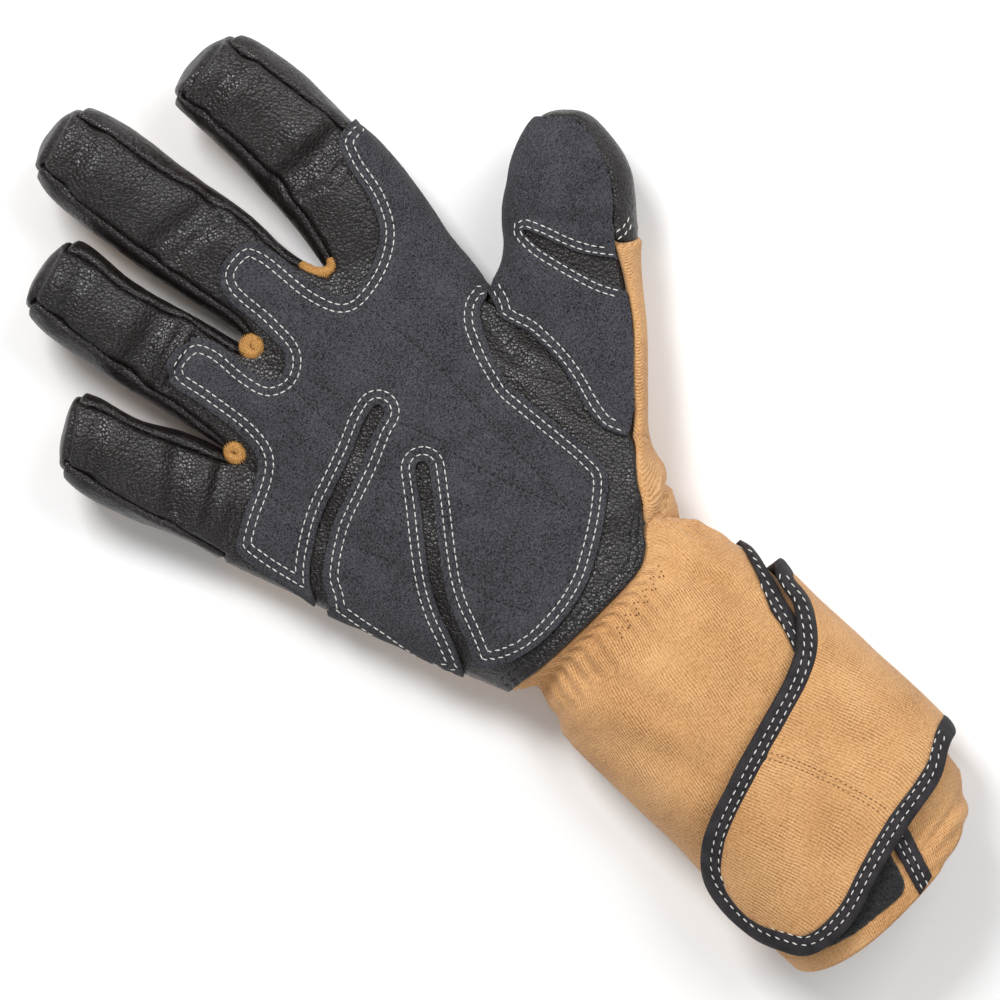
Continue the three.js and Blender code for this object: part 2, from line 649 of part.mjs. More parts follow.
// A closed sheet over some quads of the net, between two distances from its surface
function sheet(quads, low, high, retreat = 0) {
  const shifts = retreat > 0 ? drawBack(quads, retreat) : new Map();
  const used = [...new Set(quads.flatMap((quad) => quad.ids))];
  const index = new Map(used.map((id, i) => [id, i]));
  const count = used.length;
  const positions = [];
  for (const offset of [high, low]) {
    for (const id of used) {
      const reach = offset > 0 ? offset * miters[id] : offset;
      const point = net.points[id].clone().addScaledVector(normals[id], reach);
      if (shifts.has(id)) point.add(shifts.get(id));
      positions.push(point.x, point.y, point.z);
    }
  }
  const faces = [];
  const quadFaces = (a, b, c, d) => faces.push(a, b, c, a, c, d);
  for (const quad of quads) {
    const [a, b, c, d] = quad.ids.map((id) => index.get(id));
    quadFaces(a, b, c, d);
    quadFaces(a + count, d + count, c + count, b + count);
  }
  for (const [p, q] of borderEdges(quads)) {
    const a = index.get(p);
    const b = index.get(q);
    quadFaces(b, a, a + count, b + count);
  }
  const geometry = new THREE.BufferGeometry();
  geometry.setAttribute('position', new THREE.Float32BufferAttribute(positions, 3));
  geometry.setIndex(faces);
  return geometry;
}

// Length of the cuff at an angle; its upper side is longer than its back
function cuffHem(angle) {
  const upper = Math.max(Math.sin(angle), 0) ** hemRoundness;
  return lerp(cuffLength - cuffRearShortening, cuffLength, upper);
}

function cuffPoint(angle, share, offset) {
  const length = share * cuffHem(angle);
  const section = cuffSection(length / cuffLength);
  const [x, z] = sectionPoint(section.left, section.right, section.depth, angle, offset);
  const y = lerp(heelLine(angle), palmHeel - length, Math.min(share / heelFade, 1));
  return [x, y - heelClearance, z];
}

// Closed tube over the cuff between two distances from its surface
function cuffTube(low, high, rows) {
  const positions = [];
  for (const offset of [high, low]) {
    for (const share of rows) {
      for (let k = 0; k < cuffSides; k += 1) {
        positions.push(...cuffPoint((2 * Math.PI * k) / cuffSides, share, offset));
      }
    }
  }
  const count = rows.length * cuffSides;
  const faces = [];
  const quadFaces = (a, b, c, d) => faces.push(a, b, c, a, c, d);
  for (let k = 0; k < cuffSides; k += 1) {
    const next = (k + 1) % cuffSides;
    for (let row = 0; row < rows.length - 1; row += 1) {
      const here = row * cuffSides;
      const there = here + cuffSides;
      quadFaces(here + k, here + next, there + next, there + k);
      quadFaces(count + here + k, count + there + k, count + there + next, count + here + next);
    }
    const last = (rows.length - 1) * cuffSides;
    quadFaces(k, count + k, count + next, next);
    quadFaces(last + k, last + next, count + last + next, count + last + k);
  }
  const geometry = new THREE.BufferGeometry();
  geometry.setAttribute('position', new THREE.Float32BufferAttribute(positions, 3));
  geometry.setIndex(faces);
  return geometry;
}

// Joining and cutting
function toSolid(geometry) {
  geometry.deleteAttribute('normal');
  geometry.deleteAttribute('uv');
  const merged = mergeVertices(geometry, mergeTolerance);
  return new wasm.Manifold(new wasm.Mesh({
    numProp: 3,
    vertProperties: new Float32Array(merged.attributes.position.array),
    triVerts: new Uint32Array(merged.index.array),
  }));
}

function toGeometry(solid) {
  const mesh = solid.getMesh();
  const geometry = new THREE.BufferGeometry();
  geometry.setAttribute('position', new THREE.BufferAttribute(mesh.vertProperties, 3));
  geometry.setIndex(new THREE.BufferAttribute(mesh.triVerts, 1));
  return geometry;
}

// Upright prism over an outline seen from above
function prism(points, low = farBelow, high = farAbove) {
  const shape = new THREE.Shape(points.map(([x, y]) => new THREE.Vector2(x, y)));
  const geometry = new THREE.ExtrudeGeometry(shape, { depth: high - low, bevelEnabled: false });
  geometry.translate(0, 0, low);
  return toSolid(geometry);
}

function curveThrough(points, closed) {
  const corners = points.map(([x, y]) => new THREE.Vector3(x, y, 0));
  return new THREE.CatmullRomCurve3(corners, closed, 'centripetal');
}

function smoothOutline(points) {
  const curve = curveThrough(points, true);
  return curve.getPoints(2 * points.length).slice(0, -1).map((p) => [p.x, p.y]);
}

const onPalm = ([across, along]) => [across * palmWidth, along * palmLength];
const onCuff = ([across, along]) => [across * cuffWidth, palmHeel + along * cuffLength];
const onThumb = ([along, across]) => {
  const point = digitPlace(thumb, along, across, 0);
  return [point.x, point.y];
};

// Line beside an open line of points, at a distance to its left that can change as it runs
function beside(points, distanceAt) {
  const last = points.length - 1;
  return points.map(([x, y], i) => {
    const [px, py] = points[Math.max(i - 1, 0)];
    const [qx, qy] = points[Math.min(i + 1, last)];
    const by = distanceAt(i / last) / Math.hypot(qx - px, qy - py);
    return [x - (qy - py) * by, y + (qx - px) * by];
  });
}

// Band of a width centred on an open line of points
function band(points, widthAt) {
  const right = beside(points, (share) => -widthAt(share) / 2);
  const left = beside(points, (share) => widthAt(share) / 2);
  return [...right, ...left.reverse()];
}

function openLine(points, steps) {
  return curveThrough(points, false).getPoints(steps).map((p) => [p.x, p.y]);
}

// Channel of a given width along a line of points, with a round end
function roundEnded(points, width) {
  const line = openLine(points, 2 * points.length);
  const sides = band(line, () => width);
  const [ex, ey] = line[line.length - 1];
  const [px, py] = line[line.length - 2];
  const heading = Math.atan2(ey - py, ex - px);
  const end = [];
  for (let k = 1; k < endSteps; k += 1) {
    const angle = heading - Math.PI / 2 + (Math.PI * k) / endSteps;
    end.push([ex + (width / 2) * Math.cos(angle), ey + (width / 2) * Math.sin(angle)]);
  }
  return [...sides.slice(0, line.length), ...end, ...sides.slice(line.length)];
}

const glove = new THREE.Group();
glove.name = 'gauntlet_glove';

function addPiece(name, geometry, material) {
  geometry.computeVertexNormals();
  const mesh = new THREE.Mesh(geometry, material);
  mesh.name = name;
  glove.add(mesh);
}

function addSolid(name, solid, material) {
  addPiece(name, toGeometry(solid.simplify(shortestEdge)), material);
}

// Panels of the hand
const panels = [
  ['palm_panel', leatherWall, blackLeather],
  ['back_panel', knitWall, tanKnit],
  ['little_outer_side', leatherWall, blackLeather],
  ['fourchette_ring_little', leatherWall, blackLeather],
  ['fourchette_middle_ring', leatherWall, blackLeather],
  ['fourchette_index_middle', leatherWall, blackLeather],
  ['index_outer_side', leatherWall, blackLeather],
  ['thumb_front', leatherWall, blackLeather],
  ['thumb_back', knitWall, tanKnit],
  ['thumb_tip_cap', leatherWall, blackLeather],
];
for (const [name, wall, material] of panels) {
  const quads = net.quads.filter((quad) => quad.panel === name);
  addPiece(name, sheet(quads, -wall, 0, seamClearance / 2), material);
}

// Cuts a layer clear of the panels that it lies on, each by itself
function clearOf(solid, quads) {
  let result = solid;
  for (const name of new Set(quads.map((quad) => quad.panel))) {
    const own = quads.filter((quad) => quad.panel === name);
    result = result.subtract(toSolid(sheet(own, -leatherWall, layerClearance * tuckedShare)));
  }
  return result;
}

// Suede overlays: a second layer over the palm and the thumb, cut to their outlines
const overlayLow = layerClearance;
const overlayHigh = layerClearance + overlayThickness;
const quadsOf = (...names) => net.quads.filter((quad) => names.includes(quad.panel));
const palmFace = quadsOf('palm_panel', 'index_outer_side');
let palmOverlay = toSolid(sheet(palmFace, overlayLow, overlayHigh, seamClearance));
palmOverlay = palmOverlay.intersect(prism(smoothOutline(overlayOutline.map(onPalm))));
for (const slot of overlaySlots) {
  palmOverlay = palmOverlay.subtract(prism(roundEnded(slot.map(onPalm), overlaySlotWidth)));
}
palmOverlay = clearOf(palmOverlay, quadsOf('index_outer_side'));
addSolid('palm_overlay', palmOverlay, charcoalSuede);

const thumbFace = quadsOf('thumb_front', 'palm_panel');
let thumbOverlay = toSolid(sheet(thumbFace, overlayLow, overlayHigh, seamClearance));
thumbOverlay = thumbOverlay.intersect(prism(smoothOutline(thumbOverlayOutline.map(onThumb))));
thumbOverlay = thumbOverlay.subtract(prism(smoothOutline(thumbOverlaySlot.map(onThumb))));
addSolid('thumb_overlay', thumbOverlay, charcoalSuede);

// Thread tacks at the feet of the finger gaps, each resting on the highest leather under it
const tackRay = new THREE.Raycaster();
const down = new THREE.Vector3(0, 0, -1);
for (const tack of tacks) {
  const front = net.points[gaps[tack.root][0]];
  const outline = tackProfile.map(([reach, height]) => new THREE.Vector2(reach, height * tackThickness));
  const dome = new THREE.LatheGeometry(outline, tackSides);
  dome.rotateX(Math.PI / 2);
  dome.scale(tackWidth * tack.reachX, tackWidth * tack.reachY, 1);
  dome.translate(front.x, front.y + tackWidth * tack.shift, 0);
  const places = dome.getAttribute('position');
  const leather = ['palm_panel', sides[tack.root]].map((name) => glove.getObjectByName(name));
  let rest = front.z;
  for (let i = 0; i < places.count; i += 1) {
    tackRay.set(new THREE.Vector3(places.getX(i), places.getY(i), farAbove), down);
    const [hit] = tackRay.intersectObjects(leather);
    if (hit) rest = Math.max(rest, hit.point.z);
  }
  dome.translate(0, 0, rest + layerClearance);
  addSolid(tack.name, toSolid(dome), tanThread);
}

// Cuff, cut along the slit into its body and the gusset behind the slit
const cuffShares = [0, 0.035, 0.07, 0.12, 0.18, 0.26, 0.36, 0.48, 0.6, 0.72, 0.82, 0.91, 1];
const slitLine = [onCuff(slitTop), onCuff(slitHem)];
const slitWidthAt = (share) => lerp(slitBindingTop, slitBindingHem, share);
const wallTube = toSolid(cuffTube(-knitWall, 0, cuffShares));
const flapRoot = cuffDepth * flapRootHeight;
const farSide = cuffWidth;
const beyondSlit = [
  slitLine[0],
  slitLine[1],
  [farSide, slitLine[1][1] - gussetHemAllowance],
  [farSide, slitLine[0][1]],
];
const gussetBlock = prism(beyondSlit, flapRoot);
const inset = (points, by) => {
  const [a, b, c, d] = points;
  return [[a[0] + by, a[1] - by], [b[0] + by, b[1]], c, [d[0], d[1] - by]];
};
const gussetCut = prism(inset(beyondSlit, seamClearance), flapRoot + seamClearance);
addSolid('cuff_body', wallTube.subtract(gussetBlock), tanKnit);
addSolid('cuff_gusset', wallTube.intersect(gussetCut), tanKnit);

// Binding along the slit
const slitShares = cuffShares.slice(2);
const slitPath = openLine(slitLine, slitSteps);
const slitLayer = toSolid(cuffTube(layerClearance, layerClearance + bindingThickness, slitShares));
const slitBinding = slitLayer.intersect(prism(band(slitPath, slitWidthAt), cuffDepth / 2));
addSolid('slit_binding', slitBinding, blackBinding);

// Loop panel on the cuff, under the flap
const loopLayer = toSolid(cuffTube(layerClearance, layerClearance + loopThickness, slitShares));
const loopShape = prism(smoothOutline(loopEdge.map(onCuff)), cuffDepth / 2);
const besideSlit = prism(band(slitPath, (share) => slitWidthAt(share) + 2 * layerClearance), 0);
addSolid('loop_panel', loopLayer.intersect(loopShape).subtract(besideSlit), blackLoop);

// Closing flap over the slit and the loop panel, and the binding round its edge
const flapLow = 2 * layerClearance + bindingThickness;
const flapHigh = flapLow + flapThickness;
const flapShares = [0.12, 0.2, 0.28, 0.36, 0.44, 0.52, 0.6, 0.68, 0.76, 0.84, 0.92, 0.985];
const flapLine = openLine(flapEdge.map(onCuff), flapSteps);
const flapLayer = toSolid(cuffTube(flapLow, flapHigh, flapShares));
const flapInside = beside(flapLine, () => flapBindingWidth / 2 + seamClearance);
const flapTurn = cuffWidth * flapTurnShare;
const cuffEnd = palmHeel - cuffLength;
const across = (from, to) => [[from, palmHeel], [from, cuffEnd], [to, cuffEnd], [to, palmHeel]];
const overFront = prism(across(-farSide, flapTurn), cuffDepth * (seamHeight + flapSeamMargin));
const flapSpace = overFront.add(prism(across(flapTurn, farSide), flapRoot));
addSolid('closure_flap', flapLayer.intersect(prism(flapInside)).intersect(flapSpace), tanKnit);

const bindingLayer = toSolid(cuffTube(flapLow - bindingUnder, flapHigh + bindingOver, flapShares));
const bindingBand = prism(band(flapLine, () => flapBindingWidth));
addSolid('flap_binding', bindingLayer.intersect(bindingBand).intersect(flapSpace), blackBinding);

export default glove;
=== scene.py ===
"""A right-hand gauntlet work glove lying on its back, palm up, dressed over its CAD solids.

All shapes are worked out in millimetres in the row frame: +Z is the palm side, +Y runs to the
fingertips, +X is the thumb side. They are scaled to metres when a piece is put in the scene.
"""

import logging
import math
from collections.abc import Callable, Iterable, Sequence
from dataclasses import dataclass, field
from enum import Enum

import bmesh
import bpy
import numpy as np
from mathutils import Matrix, Vector, noise
from mathutils.bvhtree import BVHTree
from mathutils.kdtree import KDTree


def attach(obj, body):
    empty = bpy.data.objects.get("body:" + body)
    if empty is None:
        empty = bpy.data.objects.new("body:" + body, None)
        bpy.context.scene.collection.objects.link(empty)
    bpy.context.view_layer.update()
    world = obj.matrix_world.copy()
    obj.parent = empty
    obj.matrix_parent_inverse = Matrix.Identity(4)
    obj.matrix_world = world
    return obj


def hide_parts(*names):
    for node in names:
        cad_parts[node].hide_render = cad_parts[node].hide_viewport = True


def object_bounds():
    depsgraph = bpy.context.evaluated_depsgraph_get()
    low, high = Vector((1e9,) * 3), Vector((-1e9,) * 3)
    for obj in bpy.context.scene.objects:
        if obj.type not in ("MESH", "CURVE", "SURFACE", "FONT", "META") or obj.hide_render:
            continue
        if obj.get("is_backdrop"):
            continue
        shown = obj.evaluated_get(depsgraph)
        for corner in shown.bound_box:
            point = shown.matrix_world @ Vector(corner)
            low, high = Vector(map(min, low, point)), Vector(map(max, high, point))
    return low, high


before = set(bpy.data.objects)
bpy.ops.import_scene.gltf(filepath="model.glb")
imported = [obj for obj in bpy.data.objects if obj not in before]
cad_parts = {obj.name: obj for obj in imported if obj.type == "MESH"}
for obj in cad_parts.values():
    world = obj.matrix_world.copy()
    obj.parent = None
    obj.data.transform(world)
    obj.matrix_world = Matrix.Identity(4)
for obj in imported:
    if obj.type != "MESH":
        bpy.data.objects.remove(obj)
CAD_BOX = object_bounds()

log = logging.getLogger("glove")
MM = 0.001
BODY = "root"

# Panels across a finger's face and its side, and round the palm
FRONT = 4
SIDE = 3
RING = 2 * (FRONT + SIDE)
FINGERS = 4
PALM_FRONT = FINGERS * FRONT
RIGHT_BACK = PALM_FRONT + SIDE
LEFT_BACK = RIGHT_BACK + PALM_FRONT
PALM_RING = LEFT_BACK + SIDE

PALM_WIDTH = 115.0
PALM_HEEL = -42.0
PALM_LENGTH = 126.0
LAYER_GAP = 0.32
# Rays for sewing start above everything
ABOVE = 150.0
DOWN = Vector((0, 0, -1))
# A sheet's edge is drawn to its cut line over this many cells, on slopes no steeper than this
TRIM_REACH = 1.8
TRIM_SLOPE = 0.4
# The top of the cuff is nearer to the camera than the floor, so its outlines shrink by this much
NEARER = 0.985

PANELS = (
    "palm_panel", "back_panel", "little_outer_side", "fourchette_ring_little",
    "fourchette_middle_ring", "fourchette_index_middle", "index_outer_side",
    "thumb_front", "thumb_back", "thumb_tip_cap",
)
SIDES = PANELS[2:7]
WOVEN = ("back_panel", "thumb_back")
# Turns of the weave on the thumb and on the flap
THUMB_WEAVE = np.array([[1, 1], [1, -1]]) * 0.707
FLAP_WEAVE = np.array([[0.875, 0.485], [-0.485, 0.875]])

Points = np.ndarray


class Slot(Enum):
    """Material slots of the record that the pieces take their finish from."""

    LEATHER = "leather_black"
    SUEDE = "suede_charcoal"
    KNIT = "knit_tan"
    BINDING = "binding_black"
    LOOP = "loop_black"
    TAN_THREAD = "thread_tan"
    WHITE_THREAD = "thread_white"
    BLACK_THREAD = "thread_black"


# Curves and outlines in the flat


def resample(points: Points, step: float, closed: bool = False) -> Points:
    """Spaces points evenly along a polyline.

    Args:
        points: Corners of the polyline, one row each. A closed one repeats its first corner.
        step: Wanted spacing in millimetres.
        closed: Leaves out the repeated end.

    Returns:
        The evenly spaced points.
    """
    reach = np.concatenate([[0.0], np.cumsum(np.linalg.norm(np.diff(points, axis=0), axis=1))])
    count = max(2, round(reach[-1] / step))
    targets = np.linspace(0.0, reach[-1], count + 1)
    if closed:
        targets = targets[:-1]
    return np.column_stack([np.interp(targets, reach, column) for column in points.T])


def curve_through(corners: Sequence, step: float = 1.0, closed: bool = False) -> Points:
    """Smooth centripetal curve through some corners.

    Args:
        corners: Points that the curve passes through.
        step: Spacing of the result in millimetres.
        closed: Whether the curve returns to its start.

    Returns:
        Evenly spaced points along the curve.
    """
    p = np.asarray(corners, float)
    if closed:
        ends = np.vstack([p[-1:], p, p[:2]])
    else:
        ends = np.vstack([2 * p[0] - p[1], p, 2 * p[-1] - p[-2]])
    t = np.linspace(0.0, 1.0, 24, endpoint=False)[:, None]
    pieces = []
    for i in range(len(ends) - 3):
        p0, p1, p2, p3 = ends[i:i + 4]
        d0, d1, d2 = (max(np.linalg.norm(b - a), 1e-6) ** 0.5 for a, b in ((p0, p1), (p1, p2), (p2, p3)))
        start = ((p1 - p0) / d0 - (p2 - p0) / (d0 + d1) + (p2 - p1) / d1) * d1
        end = ((p2 - p1) / d1 - (p3 - p1) / (d1 + d2) + (p3 - p2) / d2) * d1
        square = 3 * (p2 - p1) - 2 * start - end
        cube = 2 * (p1 - p2) + start + end
        pieces.append(p1 + start * t + square * t**2 + cube * t**3)
    pieces.append(p[:1] if closed else p[-1:])
    return resample(np.vstack(pieces), step, closed)


def beside(line: Points, distance: float, closed: bool = False) -> Points:
    """Line parallel to another.

    Args:
        line: Points in the flat, as they run.
        distance: How far to the left the new line lies, in millimetres.
        closed: Whether the line returns to its start.

    Returns:
        The moved points.
    """
    if closed:
        ahead = np.roll(line, -1, axis=0) - np.roll(line, 1, axis=0)
    else:
        ahead = np.gradient(line, axis=0)
    ahead /= np.maximum(np.linalg.norm(ahead, axis=1, keepdims=True), 1e-9)
    return line + distance * np.column_stack([-ahead[:, 1], ahead[:, 0]])


def nearest_on(line: Points, points: Points, closed: bool = True) -> tuple[Points, Points]:
    """Distance and nearest place on a polyline for many points.

    Args:
        line: Corners of the polyline.
        points: Points in the flat.
        closed: Whether the last corner joins the first.

    Returns:
        The distances and the nearest places.
    """
    a = line if closed else line[:-1]
    b = np.roll(line, -1, axis=0) if closed else line[1:]
    along = b - a
    size = np.maximum((along**2).sum(1), 1e-12)
    distances = np.empty(len(points))
    places = np.empty((len(points), 2))
    for start in range(0, len(points), 4000):
        chunk = points[start:start + 4000, None, :]
        t = np.clip(((chunk - a) * along).sum(2) / size, 0.0, 1.0)
        feet = a + t[..., None] * along
        gaps = ((chunk - feet) ** 2).sum(2)
        best = gaps.argmin(1)
        rows = np.arange(len(best))
        distances[start:start + 4000] = np.sqrt(gaps[rows, best])
        places[start:start + 4000] = feet[rows, best]
    return distances, places


def inside(line: Points, points: Points) -> np.ndarray:
    """Whether points lie inside a closed polyline."""
    a = line
    b = np.roll(line, -1, axis=0)
    px, py = points[:, :1], points[:, 1:2]
    crosses = (a[:, 1] > py) != (b[:, 1] > py)
    rise = np.where(b[:, 1] == a[:, 1], 1e-12, b[:, 1] - a[:, 1])
    left = px < (b[:, 0] - a[:, 0]) * (py - a[:, 1]) / rise + a[:, 0]
    return (crosses & left).sum(1) % 2 == 1


@dataclass
class Region:
    """A cut piece of material in the flat: its outline, and the slots cut into it."""

    outline: Points
    slots: list[Points] = field(default_factory=list)

    def signed(self, points: Points) -> tuple[Points, Points]:
        """Distance from the cut edge, negative inside, and the nearest place on it."""
        results = []
        for line, sign in [(self.outline, 1.0)] + [(slot, -1.0) for slot in self.slots]:
            distance, place = nearest_on(line, points)
            within = inside(line, points)
            results.append((np.where(within, -distance, distance) * sign, place))
        signed = np.array([distance for distance, _ in results])
        which = signed.argmax(0)
        places = np.array([place for _, place in results])
        rows = np.arange(len(points))
        return signed[which, rows], places[which, rows]

    def rows(self, depth: float, *guides: Points, step: float = 0.5) -> list[Points]:
        """Lines that run inside the cut edge at an even distance, as a row of stitches does.

        Args:
            depth: Distance of the lines from the edge, in millimetres.
            *guides: Stretches of the edge that the lines follow, or none for all of it.
            step: Spacing of their points.

        Returns:
            Each unbroken stretch as its own polyline.
        """
        stretches = []
        for line in [self.outline, *self.slots]:
            fine = resample(np.vstack([line, line[:1]]), step, closed=True)
            for side in (depth, -depth):
                moved = beside(fine, side, closed=True)
                keep = np.abs(self.signed(moved)[0] + depth) < 0.12
                if guides:
                    away = [nearest_on(guide, moved, closed=False)[0] for guide in guides]
                    keep &= np.min(away, axis=0) < depth + 0.5
                stretches += split_runs(moved, keep)
        return stretches


def split_runs(line: Points, keep: np.ndarray, least: int = 8) -> list[Points]:
    """Splits a closed line into the stretches that are kept.

    Args:
        line: Points of the closed line.
        keep: Which points stay.
        least: Fewest points of a stretch.

    Returns:
        The stretches.
    """
    if keep.all():
        return [np.vstack([line, line[:1]])]
    if not keep.any():
        return []
    start = int(np.argmin(keep))
    line = np.roll(line, -start, axis=0)
    keep = np.roll(keep, -start)
    edges = np.flatnonzero(np.diff(np.concatenate([[0], keep.astype(int), [0]])))
    pairs = edges.reshape(-1, 2)
    return [line[a:b] for a, b in pairs if b - a >= least]


def smooth(value: np.ndarray, low: float, high: float) -> np.ndarray:
    """Smooth step from 0 at low to 1 at high."""
    t = np.clip((value - low) / (high - low), 0.0, 1.0)
    return t * t * (3 - 2 * t)


def bell(value: np.ndarray, width: float) -> np.ndarray:
    """Bell curve that is 1 at 0 and fades over a width."""
    return np.exp(-((value / width) ** 2))


def rough(points: Points, scale: float, seed: float = 0.0) -> np.ndarray:
    """Smooth noise between about -1 and 1 at each point.

    Args:
        points: Places in millimetres.
        scale: Size of the noise's features in millimetres.
        seed: Shifts the noise.

    Returns:
        One value for each point.
    """
    shift = Vector((seed * 7.3, seed * 3.1, seed * 5.7))
    full = np.zeros((len(points), 3))
    full[:, :points.shape[1]] = points / scale
    return np.array([noise.noise(Vector(row) + shift) for row in full])


def crease(points: Points, line: Sequence, depth: float, width: float) -> np.ndarray:
    """Height of a fold: a valley along a line with a low ridge on each side.

    Args:
        points: Places in the flat.
        line: Corners of the fold's line.
        depth: Depth of the valley in millimetres.
        width: Width of the valley.

    Returns:
        One height for each point.
    """
    distance, _ = nearest_on(np.asarray(line, float), points, closed=False)
    return depth * (0.4 * bell(distance - 2.1 * width, 1.2 * width) - bell(distance, width))


# Meshes


def refined(mesh: bpy.types.Mesh, levels: int) -> bpy.types.Mesh:
    """A smoothly subdivided copy of a mesh."""
    holder = bpy.data.objects.new("cage", mesh)
    bpy.context.scene.collection.objects.link(holder)
    step = holder.modifiers.new("smooth", "SUBSURF")
    step.levels = step.render_levels = levels
    graph = bpy.context.evaluated_depsgraph_get()
    result = bpy.data.meshes.new_from_object(holder.evaluated_get(graph))
    bpy.data.objects.remove(holder)
    return result


def coordinates(mesh: bpy.types.Mesh, kind: str = "co") -> Points:
    """Places of a mesh's vertices, or their normals, one row each."""
    flat = np.empty(len(mesh.vertices) * 3)
    mesh.vertices.foreach_get(kind, flat)
    return flat.reshape(-1, 3)


def set_coordinates(mesh: bpy.types.Mesh, places: Points) -> None:
    """Moves a mesh's vertices."""
    mesh.vertices.foreach_set("co", places.ravel())
    mesh.update()


def places_of(bm: bmesh.types.BMesh) -> Points:
    """Places of a bmesh's vertices, one row each."""
    return np.array([vert.co[:] for vert in bm.verts])


def move_to(bm: bmesh.types.BMesh, places: Iterable) -> None:
    """Moves a bmesh's vertices and brings its normals up to date."""
    for vert, place in zip(bm.verts, places):
        vert.co = place
    bm.normal_update()


def bump_out(bm: bmesh.types.BMesh, heights: np.ndarray) -> None:
    """Moves each vertex of a bmesh along its normal by its own height."""
    bm.normal_update()
    move_to(bm, [vert.co + vert.normal * height for vert, height in zip(bm.verts, heights)])


def trim(bm: bmesh.types.BMesh, region: Region, cell: float) -> None:
    """Cuts a sheet to a region seen from above, and draws its new edge onto the cut line.

    Args:
        bm: The sheet.
        region: The cut piece that stays.
        cell: Size of the sheet's faces.
    """
    old_edge = {vert for vert in bm.verts if vert.is_boundary}
    places = places_of(bm)
    signed, _ = region.signed(places[:, :2])
    bm.verts.index_update()
    gone = [face for face in bm.faces if np.mean([signed[v.index] for v in face.verts]) > 0]
    bmesh.ops.delete(bm, geom=gone, context="FACES")
    bm.normal_update()
    edge = [vert for vert in bm.verts if vert.is_boundary and vert not in old_edge]
    if not edge:
        return
    flat = np.array([vert.co[:2] for vert in edge])
    distance, target = region.signed(flat)
    for vert, gap, place in zip(edge, distance, target):
        if abs(gap) > TRIM_REACH * cell:
            continue
        dx, dy = place[0] - vert.co.x, place[1] - vert.co.y
        slope = max(vert.normal.z, TRIM_SLOPE)
        vert.co += Vector((dx, dy, -(vert.normal.x * dx + vert.normal.y * dy) / slope))
    bmesh.ops.remove_doubles(bm, verts=edge, dist=cell / 4)
    fixed = {vert for vert in bm.verts if vert.is_boundary}
    near = {other for vert in fixed for link in vert.link_edges for other in link.verts} - fixed
    bmesh.ops.smooth_vert(
        bm, verts=list(near), factor=0.5, use_axis_x=True, use_axis_y=True, use_axis_z=True,
    )


def flat_sheet(region: Region, cell: float) -> bmesh.types.BMesh:
    """A flat grid of square cells, cut to a region."""
    bm = bmesh.new()
    low = region.outline.min(0) - cell
    high = region.outline.max(0) + cell
    count = np.ceil((high - low) / cell).astype(int)
    bmesh.ops.create_grid(bm, x_segments=int(count[0]), y_segments=int(count[1]), size=1.0)
    places = places_of(bm)
    span = places.max(0) - places.min(0)
    flat = (places[:, :2] - places.min(0)[:2]) / span[:2] * (high - low) + low
    move_to(bm, np.column_stack([flat, np.zeros(len(flat))]))
    trim(bm, region, cell)
    return bm


def strip(rings: Sequence[Points]) -> bmesh.types.BMesh:
    """Skin over a row of rings with as many points each.

    Args:
        rings: The rings in order.

    Returns:
        The skin, with its open ends filled.
    """
    count = len(rings[0])
    last = len(rings) - 1
    bm = bmesh.new()
    bmesh.ops.create_grid(bm, x_segments=last, y_segments=count, size=1.0)
    places = places_of(bm)
    unit = (places - places.min(0)) / np.maximum(places.max(0) - places.min(0), 1e-9)
    i = np.rint(unit[:, 0] * last).astype(int)
    j = np.rint(unit[:, 1] * count).astype(int) % count
    move_to(bm, np.asarray(rings)[i, j])
    bmesh.ops.remove_doubles(bm, verts=bm.verts, dist=1e-4)
    bmesh.ops.holes_fill(bm, edges=[e for e in bm.edges if e.is_boundary], sides=count + 1)
    bmesh.ops.recalc_face_normals(bm, faces=bm.faces)
    return bm


def write_flat(bm: bmesh.types.BMesh, values: Points) -> None:
    """Gives each vertex of a piece its flat coordinates in millimetres, for the weave to follow."""
    layer = bm.loops.layers.uv.new("weave")
    bm.verts.index_update()
    for face in bm.faces:
        for loop in face.loops:
            loop[layer].uv = values[loop.vert.index]


def distance_to(spots: Points, points: Points) -> np.ndarray:
    """Distance of each point from the nearest of some spots."""
    tree = KDTree(len(spots))
    for i, spot in enumerate(spots):
        tree.insert(spot, i)
    tree.balance()
    return np.array([tree.find(point)[2] for point in points])


def surface_of(mesh: bpy.types.Mesh) -> BVHTree:
    """Search tree over a mesh."""
    bm = bmesh.new()
    bm.from_mesh(mesh)
    tree = BVHTree.FromBMesh(bm)
    bm.free()
    return tree


# Finishes


class Value:
    """A shader socket that can be reckoned with."""

    def __init__(self, book: "Shader", socket: bpy.types.NodeSocket) -> None:
        """Wraps one output of a node."""
        self.book = book
        self.socket = socket

    def math(self, operation: str, *others: "Value | float", first: float | None = None) -> "Value":
        """Adds a Math node on this value and others, after a first one where it is given."""
        values = [self, *others] if first is None else [first, self, *others]
        return self.book.add("ShaderNodeMath", {"operation": operation}, dict(enumerate(values)))

    def __add__(self, other: "Value | float") -> "Value":
        """Sum."""
        return self.math("ADD", other)

    __radd__ = __add__

    def __sub__(self, other: "Value | float") -> "Value":
        """Difference."""
        return self.math("SUBTRACT", other)

    def __rsub__(self, other: float) -> "Value":
        """Difference from a number."""
        return self.math("SUBTRACT", first=other)

    def __mul__(self, other: "Value | float") -> "Value":
        """Product."""
        return self.math("MULTIPLY", other)

    __rmul__ = __mul__

    def sine(self) -> "Value":
        """Sine."""
        return self.math("SINE")

    def spread(self, low: float, high: float, to_low: float = 0.0, to_high: float = 1.0) -> "Value":
        """Stretches a range of values to another and stops at its ends."""
        inputs = {0: self, 1: low, 2: high, 3: to_low, 4: to_high}
        return self.book.add("ShaderNodeMapRange", {"clamp": True}, inputs)


